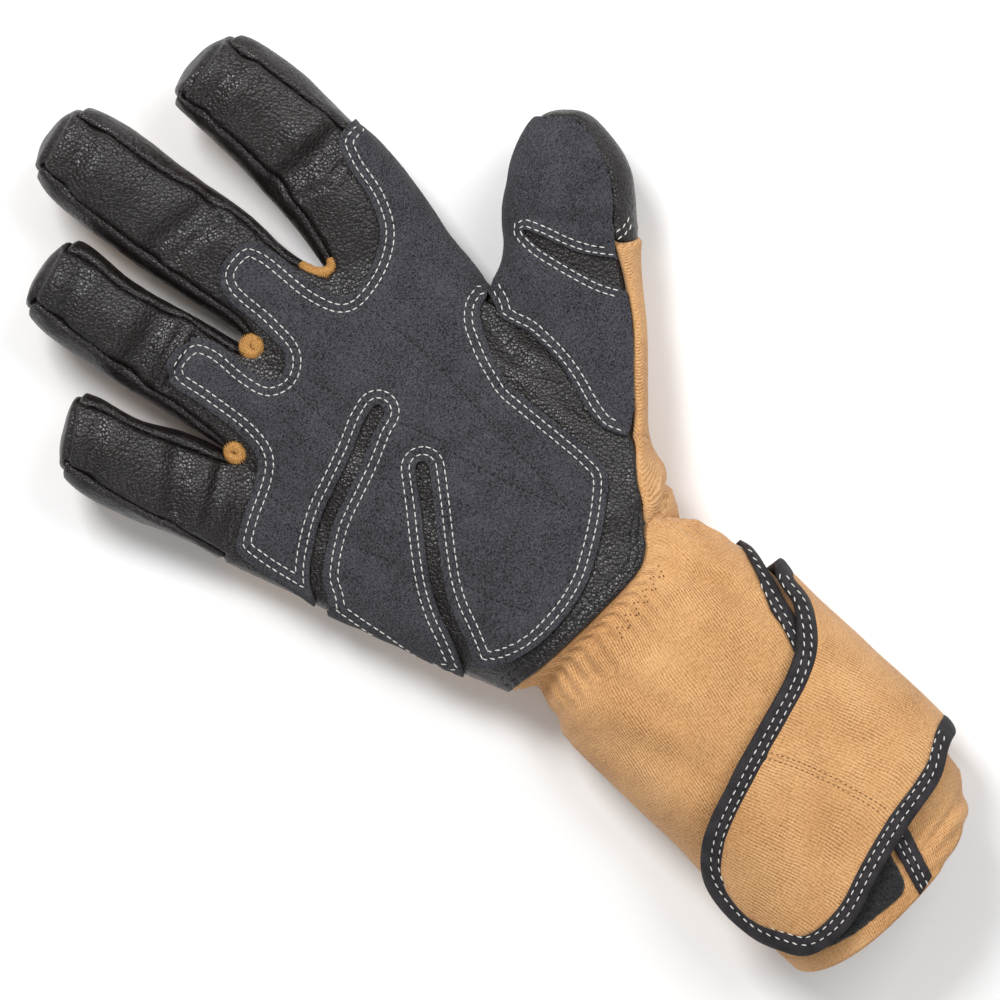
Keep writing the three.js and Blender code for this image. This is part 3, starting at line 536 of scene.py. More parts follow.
class Shader:
    """One material with a Principled shader and the nodes that feed it."""

    def __init__(self, name: str, **constants: float | tuple) -> None:
        """Makes the material.

        Args:
            name: Name of the material.
            **constants: Values of the shader's own sockets, with _ for each space.
        """
        self.material = bpy.data.materials.new(name)
        self.material.use_nodes = True
        self.nodes = self.material.node_tree.nodes
        self.links = self.material.node_tree.links
        self.shader = self.nodes["Principled BSDF"]
        for key, value in constants.items():
            self.shader.inputs[key.replace("_", " ")].default_value = value

    def add(self, kind: str, settings: dict | None = None, inputs: dict | None = None,
            output: int = 0) -> Value:
        """Adds a node.

        Args:
            kind: Type of the node.
            settings: Its settings.
            inputs: Values or links of its sockets, by name or number.
            output: Number of the output that is used.

        Returns:
            That output.
        """
        node = self.nodes.new(kind)
        for key, value in (settings or {}).items():
            setattr(node, key, value)
        for key, value in (inputs or {}).items():
            if isinstance(value, Value):
                self.links.new(value.socket, node.inputs[key])
            else:
                node.inputs[key].default_value = value
        return Value(self, node.outputs[output])

    def place(self) -> Value:
        """Object coordinates."""
        return self.add("ShaderNodeTexCoord", output=3)

    def flat(self) -> tuple[Value, Value]:
        """The piece's flat coordinates in millimetres."""
        uv = self.add("ShaderNodeUVMap", {"uv_map": "weave"})
        across = self.add("ShaderNodeSeparateXYZ", None, {0: uv}, 0)
        along = self.add("ShaderNodeSeparateXYZ", None, {0: uv}, 1)
        return across, along

    def grain(self, scale: float, detail: float = 2.0, roughness: float = 0.5) -> Value:
        """Noise of a size, from 0 to 1.

        Args:
            scale: Size of its features in millimetres.
            detail: Number of finer layers.
            roughness: Weight of the finer layers.

        Returns:
            The noise.
        """
        inputs = {"Vector": self.place(), "Scale": 1 / (scale * MM)}
        inputs |= {"Detail": detail, "Roughness": roughness}
        return self.add("ShaderNodeTexNoise", None, inputs)

    def blend(self, share: Value | float, a: "Value | tuple", b: "Value | tuple") -> Value:
        """Colour between two colours."""
        return self.add("ShaderNodeMix", {"data_type": "RGBA"}, {0: share, 6: a, 7: b}, 2)

    def feed(self, **sockets: Value) -> None:
        """Links values to the shader's sockets, with _ for each space."""
        for key, value in sockets.items():
            self.links.new(value.socket, self.shader.inputs[key.replace("_", " ")])

    def relief(self, height: Value, depth: float, strength: float = 1.0, below: Value | None = None) -> Value:
        """Bump from a height of 0 to 1.

        Args:
            height: The height.
            depth: Depth of the relief in millimetres.
            strength: How strongly it shows.
            below: Coarser relief that this one lies on.

        Returns:
            The normal.
        """
        inputs = {"Height": height, "Distance": depth * MM, "Strength": strength}
        if below is not None:
            inputs["Normal"] = below
        return self.add("ShaderNodeBump", None, inputs)


def linear(red: int, green: int, blue: int) -> tuple[float, float, float, float]:
    """Linear colour from one given in steps of 0 to 255."""
    def part(step: int) -> float:
        """One channel."""
        share = step / 255
        return share / 12.92 if share <= 0.04045 else ((share + 0.055) / 1.055) ** 2.4
    return part(red), part(green), part(blue), 1.0


@dataclass(frozen=True)
class LeatherFinish:
    """Pebbled black leather."""

    dark: tuple = linear(9, 6, 6)
    light: tuple = linear(33, 23, 23)
    pebble: float = 1.1
    relief: float = 0.26

    def material(self) -> bpy.types.Material:
        """Builds the material."""
        s = Shader("pebbled_leather", Roughness=0.45, Specular_IOR_Level=0.5)
        place = s.place()
        shift = s.add("ShaderNodeTexNoise", None, {"Vector": place, "Scale": 600.0, "Detail": 1.0}, 1)
        bend = {0: shift, 1: (0.0006,) * 3, 2: place}
        moved = s.add("ShaderNodeVectorMath", {"operation": "MULTIPLY_ADD"}, bend)

        def pattern(feature: str, size: float) -> Value:
            """Cells of a size in millimetres."""
            inputs = {"Vector": moved, "Scale": 1 / (size * MM)}
            return s.add("ShaderNodeTexVoronoi", {"feature": feature}, inputs)

        cells = pattern("F1", self.pebble)
        edges = pattern("DISTANCE_TO_EDGE", self.pebble)
        fine = pattern("F1", self.pebble / 2.3)
        dome = 1 - cells * cells * 1.6
        pebbles = dome * 0.6 + edges.spread(0.0, 0.12) * 0.25 + (1 - fine) * 0.15
        wear = s.grain(14.0, 3.0)
        tone = (pebbles * 0.7 + wear * 0.5).spread(0.45, 1.05)
        s.feed(
            Base_Color=s.blend(tone, self.dark, self.light),
            Roughness=(0.58 - pebbles * 0.18 - wear * 0.18),
            Normal=s.relief(pebbles, self.relief, 0.9, s.relief(s.grain(5.0, 3.0), 0.6, 0.5)),
        )
        return s.material


@dataclass(frozen=True)
class SuedeFinish:
    """Charcoal suede with a short nap."""

    dark: tuple = linear(11, 11, 13)
    light: tuple = linear(80, 80, 86)

    def material(self) -> bpy.types.Material:
        """Builds the material."""
        s = Shader("charcoal_suede", Roughness=0.95, Specular_IOR_Level=0.12,
                   Sheen_Weight=0.06, Sheen_Roughness=0.5)
        speck = s.grain(0.55, 3.0, roughness=0.7)
        nap = s.grain(9.0, 4.0)
        fibre = s.grain(0.28, 1.0)
        tone = (speck * 1.05 + nap * 0.2 + fibre * 0.4).spread(0.62, 1.02)
        s.feed(
            Base_Color=s.blend(tone, self.dark, self.light),
            Normal=s.relief(speck * 0.6 + fibre * 0.4, 0.22, 0.6),
        )
        return s.material


@dataclass(frozen=True)
class KnitFinish:
    """Tan fabric with a fine diagonal rib."""

    shade: tuple = linear(134, 90, 49)
    middle: tuple = linear(192, 144, 94)
    light: tuple = linear(220, 178, 128)
    pitch: float = 0.9
    lean: float = 0.2

    def material(self) -> bpy.types.Material:
        """Builds the material."""
        s = Shader("tan_fabric", Roughness=0.88, Specular_IOR_Level=0.25,
                   Sheen_Weight=0.1, Sheen_Roughness=0.6)
        across, along = s.flat()
        wander = (s.grain(7.0, 2.0) - 0.5) * 1.6
        turn = 2 * math.pi / self.pitch
        rib = ((across + along * self.lean + wander) * turn).sine()
        stitch = ((along - across * self.lean + wander) * (turn * 0.85) + rib * 1.3).sine()
        strength = s.grain(9.0, 3.0).spread(0.35, 0.65, 0.35, 1.0)
        weave = (rib * 0.32 + stitch * 0.12) * strength + 0.5
        slub = s.grain(0.75, 2.0)
        cloud = s.grain(20.0, 3.0)
        tone = (weave * 0.5 + slub * 0.5 + cloud * 0.4).spread(0.4, 1.0)
        low = s.blend(tone.spread(0.0, 0.5), self.shade, self.middle)
        s.feed(
            Base_Color=s.blend(tone.spread(0.5, 1.0), low, self.light),
            Normal=s.relief(weave * 0.7 + slub * 0.3, 0.22, 0.6),
        )
        return s.material


@dataclass(frozen=True)
class BindingFinish:
    """Black binding of soft leather-like cloth."""

    dark: tuple = linear(22, 20, 22)
    light: tuple = linear(58, 55, 58)

    def material(self) -> bpy.types.Material:
        """Builds the material."""
        s = Shader("black_binding", Roughness=0.8, Specular_IOR_Level=0.3)
        speck = s.grain(0.5, 3.0)
        cloud = s.grain(5.0, 2.0)
        s.feed(
            Base_Color=s.blend((speck * 0.6 + cloud * 0.5).spread(0.3, 0.9), self.dark, self.light),
            Roughness=0.9 - cloud * 0.25,
            Normal=s.relief(speck, 0.12, 0.5),
        )
        return s.material


@dataclass(frozen=True)
class LoopFinish:
    """Black loop pile of a hook and loop closing."""

    dark: tuple = linear(7, 7, 8)
    light: tuple = linear(66, 64, 66)

    def material(self) -> bpy.types.Material:
        """Builds the material."""
        s = Shader("black_loop_pile", Roughness=1.0, Specular_IOR_Level=0.2, Sheen_Weight=0.2)
        curl = s.grain(0.8, 4.0, roughness=0.75)
        s.feed(
            Base_Color=s.blend(curl.spread(0.35, 0.75), self.dark, self.light),
            Normal=s.relief(curl, 0.7, 0.9),
        )
        return s.material


@dataclass(frozen=True)
class ThreadFinish:
    """Sewing thread of one colour."""

    name: str
    shade: tuple
    light: tuple

    def material(self) -> bpy.types.Material:
        """Builds the material."""
        s = Shader(self.name, Roughness=0.6, Specular_IOR_Level=0.3)
        twist = s.grain(0.35, 2.0)
        s.feed(Base_Color=s.blend(twist.spread(0.3, 0.7), self.shade, self.light),
               Normal=s.relief(twist, 0.08, 0.5))
        return s.material


class Wardrobe:
    """The finishes of the glove, each made once."""

    def __init__(self) -> None:
        """Builds every finish."""
        kinds = {
            Slot.LEATHER: LeatherFinish(),
            Slot.SUEDE: SuedeFinish(),
            Slot.KNIT: KnitFinish(),
            Slot.BINDING: BindingFinish(),
            Slot.LOOP: LoopFinish(),
            Slot.TAN_THREAD: ThreadFinish("tan_thread", linear(112, 70, 28), linear(222, 172, 100)),
            Slot.WHITE_THREAD: ThreadFinish("white_thread", linear(165, 163, 158), linear(232, 231, 226)),
            Slot.BLACK_THREAD: ThreadFinish("black_thread", linear(10, 10, 11), linear(34, 33, 35)),
        }
        self.finishes = {slot: kind.material() for slot, kind in kinds.items()}
        # Tan thread darkened to paint the shade of its needle holes, for the flap seam and the elastic zigzag
        self.thread_with_painted_hole_shade = ThreadFinish("tan_thread_with_painted_hole_shade", linear(70, 42, 20), linear(120, 78, 40)).material()

    def dress(self, name: str, bm: bmesh.types.BMesh, slot: Slot, nodes: Iterable[str] = (),
              finish: bpy.types.Material | None = None) -> bpy.types.Object:
        """Puts a piece in the scene, in metres, with its finish.

        Args:
            name: Name of the piece.
            bm: Its mesh in millimetres, which is used up.
            slot: Its material slot.
            nodes: CAD nodes that it stands for.
            finish: Finish that takes the place of the slot's own.

        Returns:
            The new object.
        """
        bmesh.ops.scale(bm, vec=(MM, MM, MM), verts=bm.verts)
        mesh = bpy.data.meshes.new(name)
        bm.to_mesh(mesh)
        bm.free()
        mesh.polygons.foreach_set("use_smooth", [True] * len(mesh.polygons))
        mesh.materials.append(finish or self.finishes[slot])
        mesh.polygons.foreach_set("material_index", [0] * len(mesh.polygons))
        piece = bpy.data.objects.new(name, mesh)
        bpy.context.scene.collection.objects.link(piece)
        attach(piece, BODY)
        if nodes:
            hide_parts(*nodes)
        log.info("%s: %d faces", name, len(mesh.polygons))
        return piece


def give_wall(piece: bpy.types.Object, thickness: float, inward: bool = True, edge: float = 0.0) -> None:
    """Gives a sheet its wall.

    Args:
        piece: The sheet.
        thickness: Thickness in millimetres.
        inward: Whether the wall grows inwards.
        edge: Width of the rounding of its cut edges in millimetres.
    """
    wall = piece.modifiers.new("wall", "SOLIDIFY")
    wall.thickness = thickness * MM
    wall.offset = -1.0 if inward else 1.0
    if edge:
        rounding = piece.modifiers.new("rounding", "BEVEL")
        rounding.width = edge * MM
        rounding.segments = 2
        rounding.limit_method = "ANGLE"
        rounding.angle_limit = math.radians(50)


# Sewing


@dataclass(frozen=True)
class Stitch:
    """Size and spacing of one kind of stitch, in millimetres."""

    length: float = 1.85
    width: float = 0.46
    height: float = 0.5
    pitch: float = 2.35
    lift: float = 0.05


SEWING_STEP = 0.25


class Sewing:
    """Rows of stitches that lie on a surface, gathered in one mesh."""

    def __init__(self, surface: BVHTree) -> None:
        """Starts on a surface."""
        self.surface = surface
        self.bm = bmesh.new()
        self.count = 0

    def lay(self, place: Vector, ahead: Vector, up: Vector, kind: Stitch) -> None:
        """Lays one stitch.

        Args:
            place: Its middle.
            ahead: Direction that it runs in.
            up: Direction away from the surface.
            kind: Its size.
        """
        side = up.cross(ahead).normalized()
        up = ahead.cross(side).normalized()
        turn = Matrix((side, up, ahead)).transposed()
        size = Matrix.Diagonal((kind.width / 2, kind.height / 2, kind.length / 2))
        matrix = Matrix.Translation(place + up * kind.lift) @ (turn @ size).to_4x4()
        bmesh.ops.create_uvsphere(self.bm, u_segments=6, v_segments=4, radius=1.0, matrix=matrix)
        self.count += 1

    def run(self, line: Points, kind: Stitch, least_slope: float = 0.12) -> None:
        """Sews along a line seen from above.

        Args:
            line: The line in the flat.
            kind: Size and spacing of the stitches.
            least_slope: Steepest surface that is sewn.
        """
        fine = resample(line, SEWING_STEP)
        step = kind.pitch / SEWING_STEP
        spots = np.arange(step / 2, len(fine) - 1, step).astype(int)
        for spot in spots:
            before = fine[max(spot - 3, 0)]
            after = fine[min(spot + 3, len(fine) - 1)]
            place, normal, _, _ = self.surface.ray_cast(Vector((*fine[spot], ABOVE)), DOWN)
            if place is None or abs(normal.z) < least_slope:
                continue
            normal = normal if normal.z > 0 else -normal
            ahead = Vector((*(after - before), 0.0))
            ahead -= normal * ahead.dot(normal)
            if ahead.length > 1e-6:
                self.lay(place, ahead.normalized(), normal, kind)

    def finish(self, wardrobe: Wardrobe, name: str, slot: Slot, nodes: Iterable[str] = (),
               finish: bpy.types.Material | None = None) -> None:
        """Puts the stitches in the scene as one piece."""
        log.info("%s: %d stitches", name, self.count)
        wardrobe.dress(name, self.bm, slot, nodes, finish)


# The hand


@dataclass(frozen=True)
class Digit:
    """A finger or the thumb, and the section rows along it.

    Each row holds: share of the length, left, left seam, right seam and right as shares of the
    half width, depth as a share of the digit's depth, lift as a share of its rise, and skew.
    """

    root: tuple[float, float]
    length: float
    half_width: float
    splay: float
    depth: float
    rise: float
    rows: tuple[tuple[float, ...], ...]

    def place(self, along: float, across: float, z: float) -> Points:
        """Point in the digit's own directions."""
        turn = math.radians(self.splay)
        axis = np.array([-math.sin(turn), math.cos(turn)])
        lateral = np.array([axis[1], -axis[0]])
        root = np.array([self.root[0] * PALM_WIDTH, PALM_HEEL + self.root[1] * PALM_LENGTH])
        flat = root + axis * along * self.length + lateral * across * self.half_width
        return np.array([*flat, z])


LITTLE = Digit((-0.513, 0.778), 55.5, 14, 21, 23, 13, (
    (0.15, 1.0, 0.86, 0.84, 1.06, 1.04, 0.3, 0), (0.32, 1.04, 0.82, 0.82, 1.08, 1.04, 0.42, 0),
    (0.49, 1.06, 0.78, 0.77, 1.0, 1.03, 0.56, 0), (0.66, 1.03, 0.68, 0.77, 0.91, 1.01, 0.72, 0),
    (0.82, 0.94, 0.58, 0.78, 0.99, 0.97, 0.87, -0.02), (0.93, 0.74, 0.54, 0.74, 0.93, 0.86, 1.02, -0.05)))
RING_FINGER = Digit((-0.291, 0.93), 73, 14.2, 11.5, 25, 12, (
    (0.13, 1.06, 0.88, 0.86, 1.0, 1.04, 0.24, 0), (0.26, 1.09, 0.86, 0.82, 0.95, 1.02, 0.32, 0),
    (0.4, 1.12, 0.81, 0.77, 0.91, 1.0, 0.44, 0), (0.55, 1.12, 0.78, 0.64, 0.84, 1.02, 0.58, 0),
    (0.7, 1.12, 0.76, 0.62, 0.83, 1.01, 0.74, 0), (0.84, 1.07, 0.67, 0.7, 0.92, 0.97, 0.9, 0),
    (0.945, 0.9, 0.63, 0.56, 0.83, 0.84, 1.04, 0)))
MIDDLE = Digit((-0.039, 1.008), 89, 15.5, 8.7, 26, 12, (
    (0.12, 0.9, 0.74, 0.8, 0.92, 1.03, 0.2, 0), (0.24, 0.94, 0.73, 0.88, 0.99, 1.02, 0.28, 0),
    (0.36, 0.99, 0.73, 0.89, 1.02, 1.0, 0.36, 0), (0.49, 1.02, 0.74, 0.81, 1.01, 1.01, 0.48, 0),
    (0.63, 1.01, 0.75, 0.71, 1.0, 1.02, 0.62, 0), (0.77, 1.01, 0.72, 0.68, 1.02, 1.0, 0.78, 0),
    (0.88, 0.94, 0.63, 0.65, 0.94, 0.95, 0.92, 0), (0.955, 0.74, 0.55, 0.58, 0.78, 0.83, 1.05, 0)))
INDEX = Digit((0.25, 0.93), 82.5, 17, -0.3, 26, 12, (
    (0.12, 1.0, 0.85, 0.94, 1.1, 1.02, 0.22, 0), (0.25, 0.88, 0.67, 0.96, 1.17, 1.0, 0.3, 0),
    (0.38, 0.81, 0.55, 0.97, 1.16, 0.98, 0.39, 0), (0.52, 0.78, 0.51, 0.94, 1.15, 0.99, 0.51, 0),
    (0.66, 0.77, 0.53, 0.84, 1.14, 1.0, 0.66, 0), (0.79, 0.8, 0.59, 0.74, 1.07, 0.98, 0.8, 0),
    (0.89, 0.83, 0.65, 0.63, 0.95, 0.93, 0.94, 0), (0.955, 0.76, 0.62, 0.57, 0.78, 0.82, 1.05, 0)))
THUMB = Digit((0.4, 0.444), 72, 20, -47.5, 25, 13, (
    (0.27, 1.08, 0.92, 0.78, 0.97, 1.16, 0.35, 0.12), (0.42, 1.07, 0.88, 0.6, 0.84, 1.08, 0.52, 0.07),
    (0.57, 1.11, 0.88, 0.45, 0.82, 1.06, 0.7, 0.02), (0.71, 1.04, 0.82, 0.38, 0.76, 1.02, 0.84, 0),
    (0.84, 0.97, 0.74, 0.2, 0.6, 0.92, 0.97, 0), (0.985, 0.72, 0.56, -0.14, 0.18, 0.74, 1.1, 0)))

HEEL_NOTCH = math.radians(42)
NOTCH_SPREAD = math.radians(15)


def section(left: Points, right: Points, depth: Points, angle: Points,
            offset: Points = 0.0) -> tuple[Points, Points]:
    """Point of the closed section curve of the cuff or the heel.

    Args:
        left: Left end of the section.
        right: Right end of the section.
        depth: Height of the section.
        angle: Angle round it in radians, from the thumb side.
        offset: Distance outside it.

    Returns:
        The x and z of the point.
    """
    half = (right - left) / 2 + offset
    seam = depth * 0.42
    c, s = np.cos(angle), np.sin(angle)
    power = 2 / np.where(s >= 0, 2.4, 3.4)
    height = np.where(s >= 0, depth - seam + offset, seam + offset)
    x = (left + right) / 2 + half * np.sign(c) * np.abs(c) ** power
    z = seam + height * np.sign(s) * np.abs(s) ** power
    return x, z


def heel_line(angle: Points) -> Points:
    """Height along the hand at which the cuff joins it."""
    away = np.arctan2(np.sin(angle - HEEL_NOTCH), np.cos(angle - HEEL_NOTCH)) / NOTCH_SPREAD
    return PALM_HEEL - 2.3 * np.maximum(np.sin(angle), 0) ** 2 + 8.5 * np.exp(-away * away)


@dataclass
class HandCage:
    """Coarse closed net of the hand, with the panel that each of its quads belongs to."""

    rows: tuple[float, ...] = (0, 0.12, 0.22, 0.36, 0.5, 0.64, 0.8, 0.9, 1)
    thumb_low: int = 2
    thumb_high: int = 6
    wrap_from: int = 3
    wrap_slope: tuple[float, ...] = (-2.4, 7.0, 0.0)
    cap_row: float = 0.57
    cap_dips: tuple[float, ...] = (0.085, 0.05, 0.0)
    thumb_seam_shift: tuple[float, ...] = (5.5, -1.6, -2.0)
    rise: float = 2.5
    heel_depth: float = 46
    heel_left: float = -39.5
    heel_right: float = 35
    roots: tuple[tuple[float, ...], ...] = (
        (-0.612, 0.7, 0.42, 0.13), (-0.409, 0.849, 0.52, 0.1), (-0.174, 1, 0.58, 0.09),
        (0.096, 1.004, 0.58, 0.09), (0.375, 0.857, 0.5, 0.12))
    points: list = field(default_factory=list)
    quads: list = field(default_factory=list)

    def add(self, point: Points) -> int:
        """Adds a point and returns its number."""
        self.points.append(np.asarray(point, float))
        return len(self.points) - 1

    def quad(self, corners: Sequence[int], panel: str) -> None:
        """Adds a quad of a panel."""
        self.quads.append((list(corners), PANELS.index(panel)))

    def heel_point(self, column: int) -> Points:
        """Point of a palm column at the heel."""
        stops = [(0, 170), (PALM_FRONT, 45), (RIGHT_BACK, -42), (LEFT_BACK, -142), (PALM_RING, -190)]
        angle = math.radians(np.interp(column, *zip(*stops)))
        x, z = section(self.heel_left, self.heel_right, self.heel_depth, angle)
        return np.array([x, heel_line(angle), z])

    def root_point(self, column: int) -> Points:
        """Point of a palm column at the finger roots."""
        def place(k: int, share: float) -> Points:
            """Point of one root."""
            across, along, front, back = self.roots[k]
            z = self.heel_depth * (front + (back - front) * share)
            return np.array([across * PALM_WIDTH, PALM_HEEL + along * PALM_LENGTH, z])

        def between(position: float, share: float, bow: float) -> Points:
            """Point between two roots."""
            k = min(int(position), FINGERS - 1)
            t = position - k
            point = place(k, share) * (1 - t) + place(k + 1, share) * t
            point[2] += bow * 4 * t * (1 - t)
            return point

        if column <= PALM_FRONT:
            return between(column / FRONT, 0, self.rise)
        if column < RIGHT_BACK:
            t = (column - PALM_FRONT) / SIDE
            return place(FINGERS, t) + np.array([0.8 * math.sin(math.pi * t), 0, 0])
        if column <= LEFT_BACK:
            return between((LEFT_BACK - column) / FRONT, 1, -self.rise)
        t = (column - LEFT_BACK) / SIDE
        return place(0, 1 - t) - np.array([1.6 * math.sin(math.pi * t), 0, 0])

    def palm_point(self, column: int, share: float) -> Points:
        """Point of the palm between heel and roots, with the mound of the thumb."""
        point = self.heel_point(column) * (1 - share) + self.root_point(column) * share
        swell = math.sin(math.pi * min(share / self.rows[self.thumb_high], 1))
        if column <= RIGHT_BACK:
            mound = float(smooth(column, FRONT * 2.2, PALM_FRONT)) * swell
            point[0] += 9 * mound
            if column <= PALM_FRONT:
                point[2] += self.rise * mound
        if column <= PALM_FRONT:
            point[2] -= self.rise * swell * math.sin(math.pi * column / PALM_FRONT)
        if RIGHT_BACK <= column <= LEFT_BACK:
            point[2] = max(point[2] - 2.6 * float(smooth(share, 0, self.rows[1])), 0)
        edge = 1.0 if column > LEFT_BACK else 1 - float(smooth(column, 0, FRONT))
        point[0] -= 0.4 * math.sin(math.pi * share) * edge
        point[2] = max(point[2], 0)
        return point

    def ring(self, digit: Digit, row: tuple[float, ...]) -> list[Points]:
        """Section ring of a digit at one row."""
        at, left, seam_left, seam_right, right, deep, lift, skew = row
        base = digit.rise * lift
        depth = digit.depth * deep

        def place(across: float, z: float) -> Points:
            """Point of the ring."""
            return digit.place(at - skew * across, across, z)

        dips = self.cap_dips if digit is THUMB and at == self.cap_row else (0.0, 0.0, 0.0)
        front = [place(-seam_left + (seam_left + seam_right) * j / FRONT,
                       base + depth * (1 - 0.1 * (2 * j / FRONT - 1) ** 2)) for j in range(FRONT + 1)]
        back = [place((right - (right + left) * j / FRONT) * 0.7,
                      base + depth * 0.07 * (2 * j / FRONT - 1) ** 2) for j in range(FRONT + 1)]
        high, low = base + depth * 0.66, base + depth * 0.27
        front[-1] = digit.place(at - dips[0] - skew * seam_right, seam_right, front[-1][2])
        near = digit.place(at - dips[1] - skew * right, right, high)
        far = digit.place(at - dips[2] - skew * right, right * 0.97, low)
        return [*front, near, far, *back, place(-left * 0.97, low), place(-left, high)]

    def digit(self, digit: Digit, root: list[int], extra: int, panel: Callable[[int, int], str],
              tip: str) -> None:
        """Builds a digit from its root ring to its tip.

        Args:
            digit: The digit.
            root: Numbers of the points of its root ring.
            extra: Rings added between the root and the first row.
            panel: Panel of a quad, from its place round the ring and its row.
            tip: Panel of the tip.
        """
        rings = [self.ring(digit, row) for row in digit.rows]
        start = [self.points[i] for i in root]
        lead = []
        for k in range(1, extra + 1):
            t = k / (extra + 1)
            lead.append([a * (1 - t) + b * t for a, b in zip(start, rings[0])])
        last = root
        for index, ring in enumerate(lead + rings):
            ids = [self.add(point) for point in ring]
            for j in range(RING):
                k = (j + 1) % RING
                self.quad((last[j], last[k], ids[k], ids[j]), panel(j, index - extra))
            last = ids
        self.close_tip(digit, last, tip)

    def close_tip(self, digit: Digit, ring: list[int], panel: str) -> None:
        """Closes the end of a digit with a small grid."""
        axis = digit.place(1, 0, 0) - digit.place(0, 0, 0)
        at = [self.points[i] for i in ring]
        grid = []
        for i in range(SIDE + 1):
            line = []
            for k in range(FRONT + 1):
                if i == 0:
                    line.append(ring[k])
                elif i == SIDE:
                    line.append(ring[2 * FRONT + SIDE - k])
                elif k == 0:
                    line.append(ring[RING - i])
                elif k == FRONT:
                    line.append(ring[FRONT + i])
                else:
                    u, v = k / FRONT, i / SIDE
                    across = at[RING - i] * (1 - u) + at[FRONT + i] * u
                    down = at[k] * (1 - v) + at[2 * FRONT + SIDE - k] * v
                    bulge = (1 - (2 * u - 1) ** 4) * (1 - (2 * v - 1) ** 4)
                    line.append(self.add((across + down) / 2 + axis * 0.045 * bulge))
            grid.append(line)
        for i in range(SIDE):
            for k in range(FRONT):
                self.quad((grid[i][k], grid[i][k + 1], grid[i + 1][k + 1], grid[i + 1][k]), panel)

    def build(self) -> bpy.types.Mesh:
        """Builds the net of the palm, the fingers and the thumb."""
        palm = [[self.add(self.palm_point(c, share)) for c in range(PALM_RING)] for share in self.rows]
        for row, share in ((self.thumb_low, 1.0), (self.thumb_low + 1, 0.3), (self.thumb_low - 1, 0.15)):
            self.points[palm[row][PALM_FRONT]] += np.array(self.thumb_seam_shift) * share
        for column, share in ((PALM_RING - 2, 1.0), (PALM_RING - 1, -1.0)):
            self.points[palm[self.wrap_from][column]] += np.array(self.wrap_slope) * share
        for row in range(len(self.rows) - 1):
            for c in range(PALM_RING):
                k = (c + 1) % PALM_RING
                thumb_side = PALM_FRONT <= c < RIGHT_BACK
                if thumb_side and self.thumb_low <= row < self.thumb_high:
                    continue
                wrapped = c == PALM_RING - 1 or (c == PALM_RING - 2 and row >= self.wrap_from)
                panel = "palm_panel" if c < PALM_FRONT or wrapped else "back_panel"
                if thumb_side and row >= self.thumb_high:
                    panel = "index_outer_side"
                self.quad((palm[row][c], palm[row][k], palm[row + 1][k], palm[row + 1][c]), panel)
        top = palm[-1]
        gaps = []
        for k in range(FINGERS + 1):
            front, back = top[k * FRONT], top[LEFT_BACK - k * FRONT]
            path = [front]
            for i in range(1, SIDE):
                if k == 0:
                    path.append(top[PALM_RING - i])
                elif k == FINGERS:
                    path.append(top[PALM_FRONT + i])
                else:
                    t = i / SIDE
                    middle = self.points[front] * (1 - t) + self.points[back] * t
                    path.append(self.add(middle + np.array([0, 1, 0])))
            gaps.append([*path, back])
        for k, digit in enumerate((LITTLE, RING_FINGER, MIDDLE, INDEX)):
            ring = [top[k * FRONT + j] for j in range(FRONT + 1)]
            ring += [gaps[k + 1][i] for i in range(1, SIDE)]
            ring += [top[LEFT_BACK - (k + 1) * FRONT + j] for j in range(FRONT + 1)]
            ring += [gaps[k][i] for i in range(SIDE - 1, 0, -1)]

            def panel(j: int, _row: int, k: int = k) -> str:
                """Panel round a finger."""
                if j < FRONT:
                    return "palm_panel"
                if j < FRONT + SIDE:
                    return SIDES[k + 1]
                return "back_panel" if j < 2 * FRONT + SIDE else SIDES[k]

            self.digit(digit, ring, 0, panel, "palm_panel")

        def thumb_panel(j: int, row: int) -> str:
            """Panel round the thumb."""
            if j < FRONT or j >= 2 * FRONT + SIDE:
                return "thumb_front"
            return "thumb_tip_cap" if row > 2 else "thumb_back"

        low, high = self.thumb_low, self.thumb_high
        ring = [palm[row][PALM_FRONT] for row in range(high, low - 1, -1)]
        ring += [palm[low][PALM_FRONT + i] for i in range(1, SIDE)]
        ring += [palm[row][RIGHT_BACK] for row in range(low, high + 1)]
        ring += [palm[high][PALM_FRONT + i] for i in range(SIDE - 1, 0, -1)]
        self.digit(THUMB, ring, 2, thumb_panel, "thumb_tip_cap")
        bm = bmesh.new()
        verts = [bm.verts.new(point) for point in self.points]
        for corners, panel in self.quads:
            face = bm.faces.new([verts[i] for i in corners])
            face.material_index = panel
        mesh = bpy.data.meshes.new("hand_net")
        bm.to_mesh(mesh)
        bm.free()
        return mesh


@dataclass(frozen=True)
class Fold:
    """A fold line in the flat, with its depth and width in millimetres."""

    line: tuple[tuple[float, float], ...]
    depth: float
    width: float


@dataclass(frozen=True)
class Pad:
    """A soft swelling in the flat: place, radius and height in millimetres."""

    place: tuple[float, float]
    radius: float
    height: float


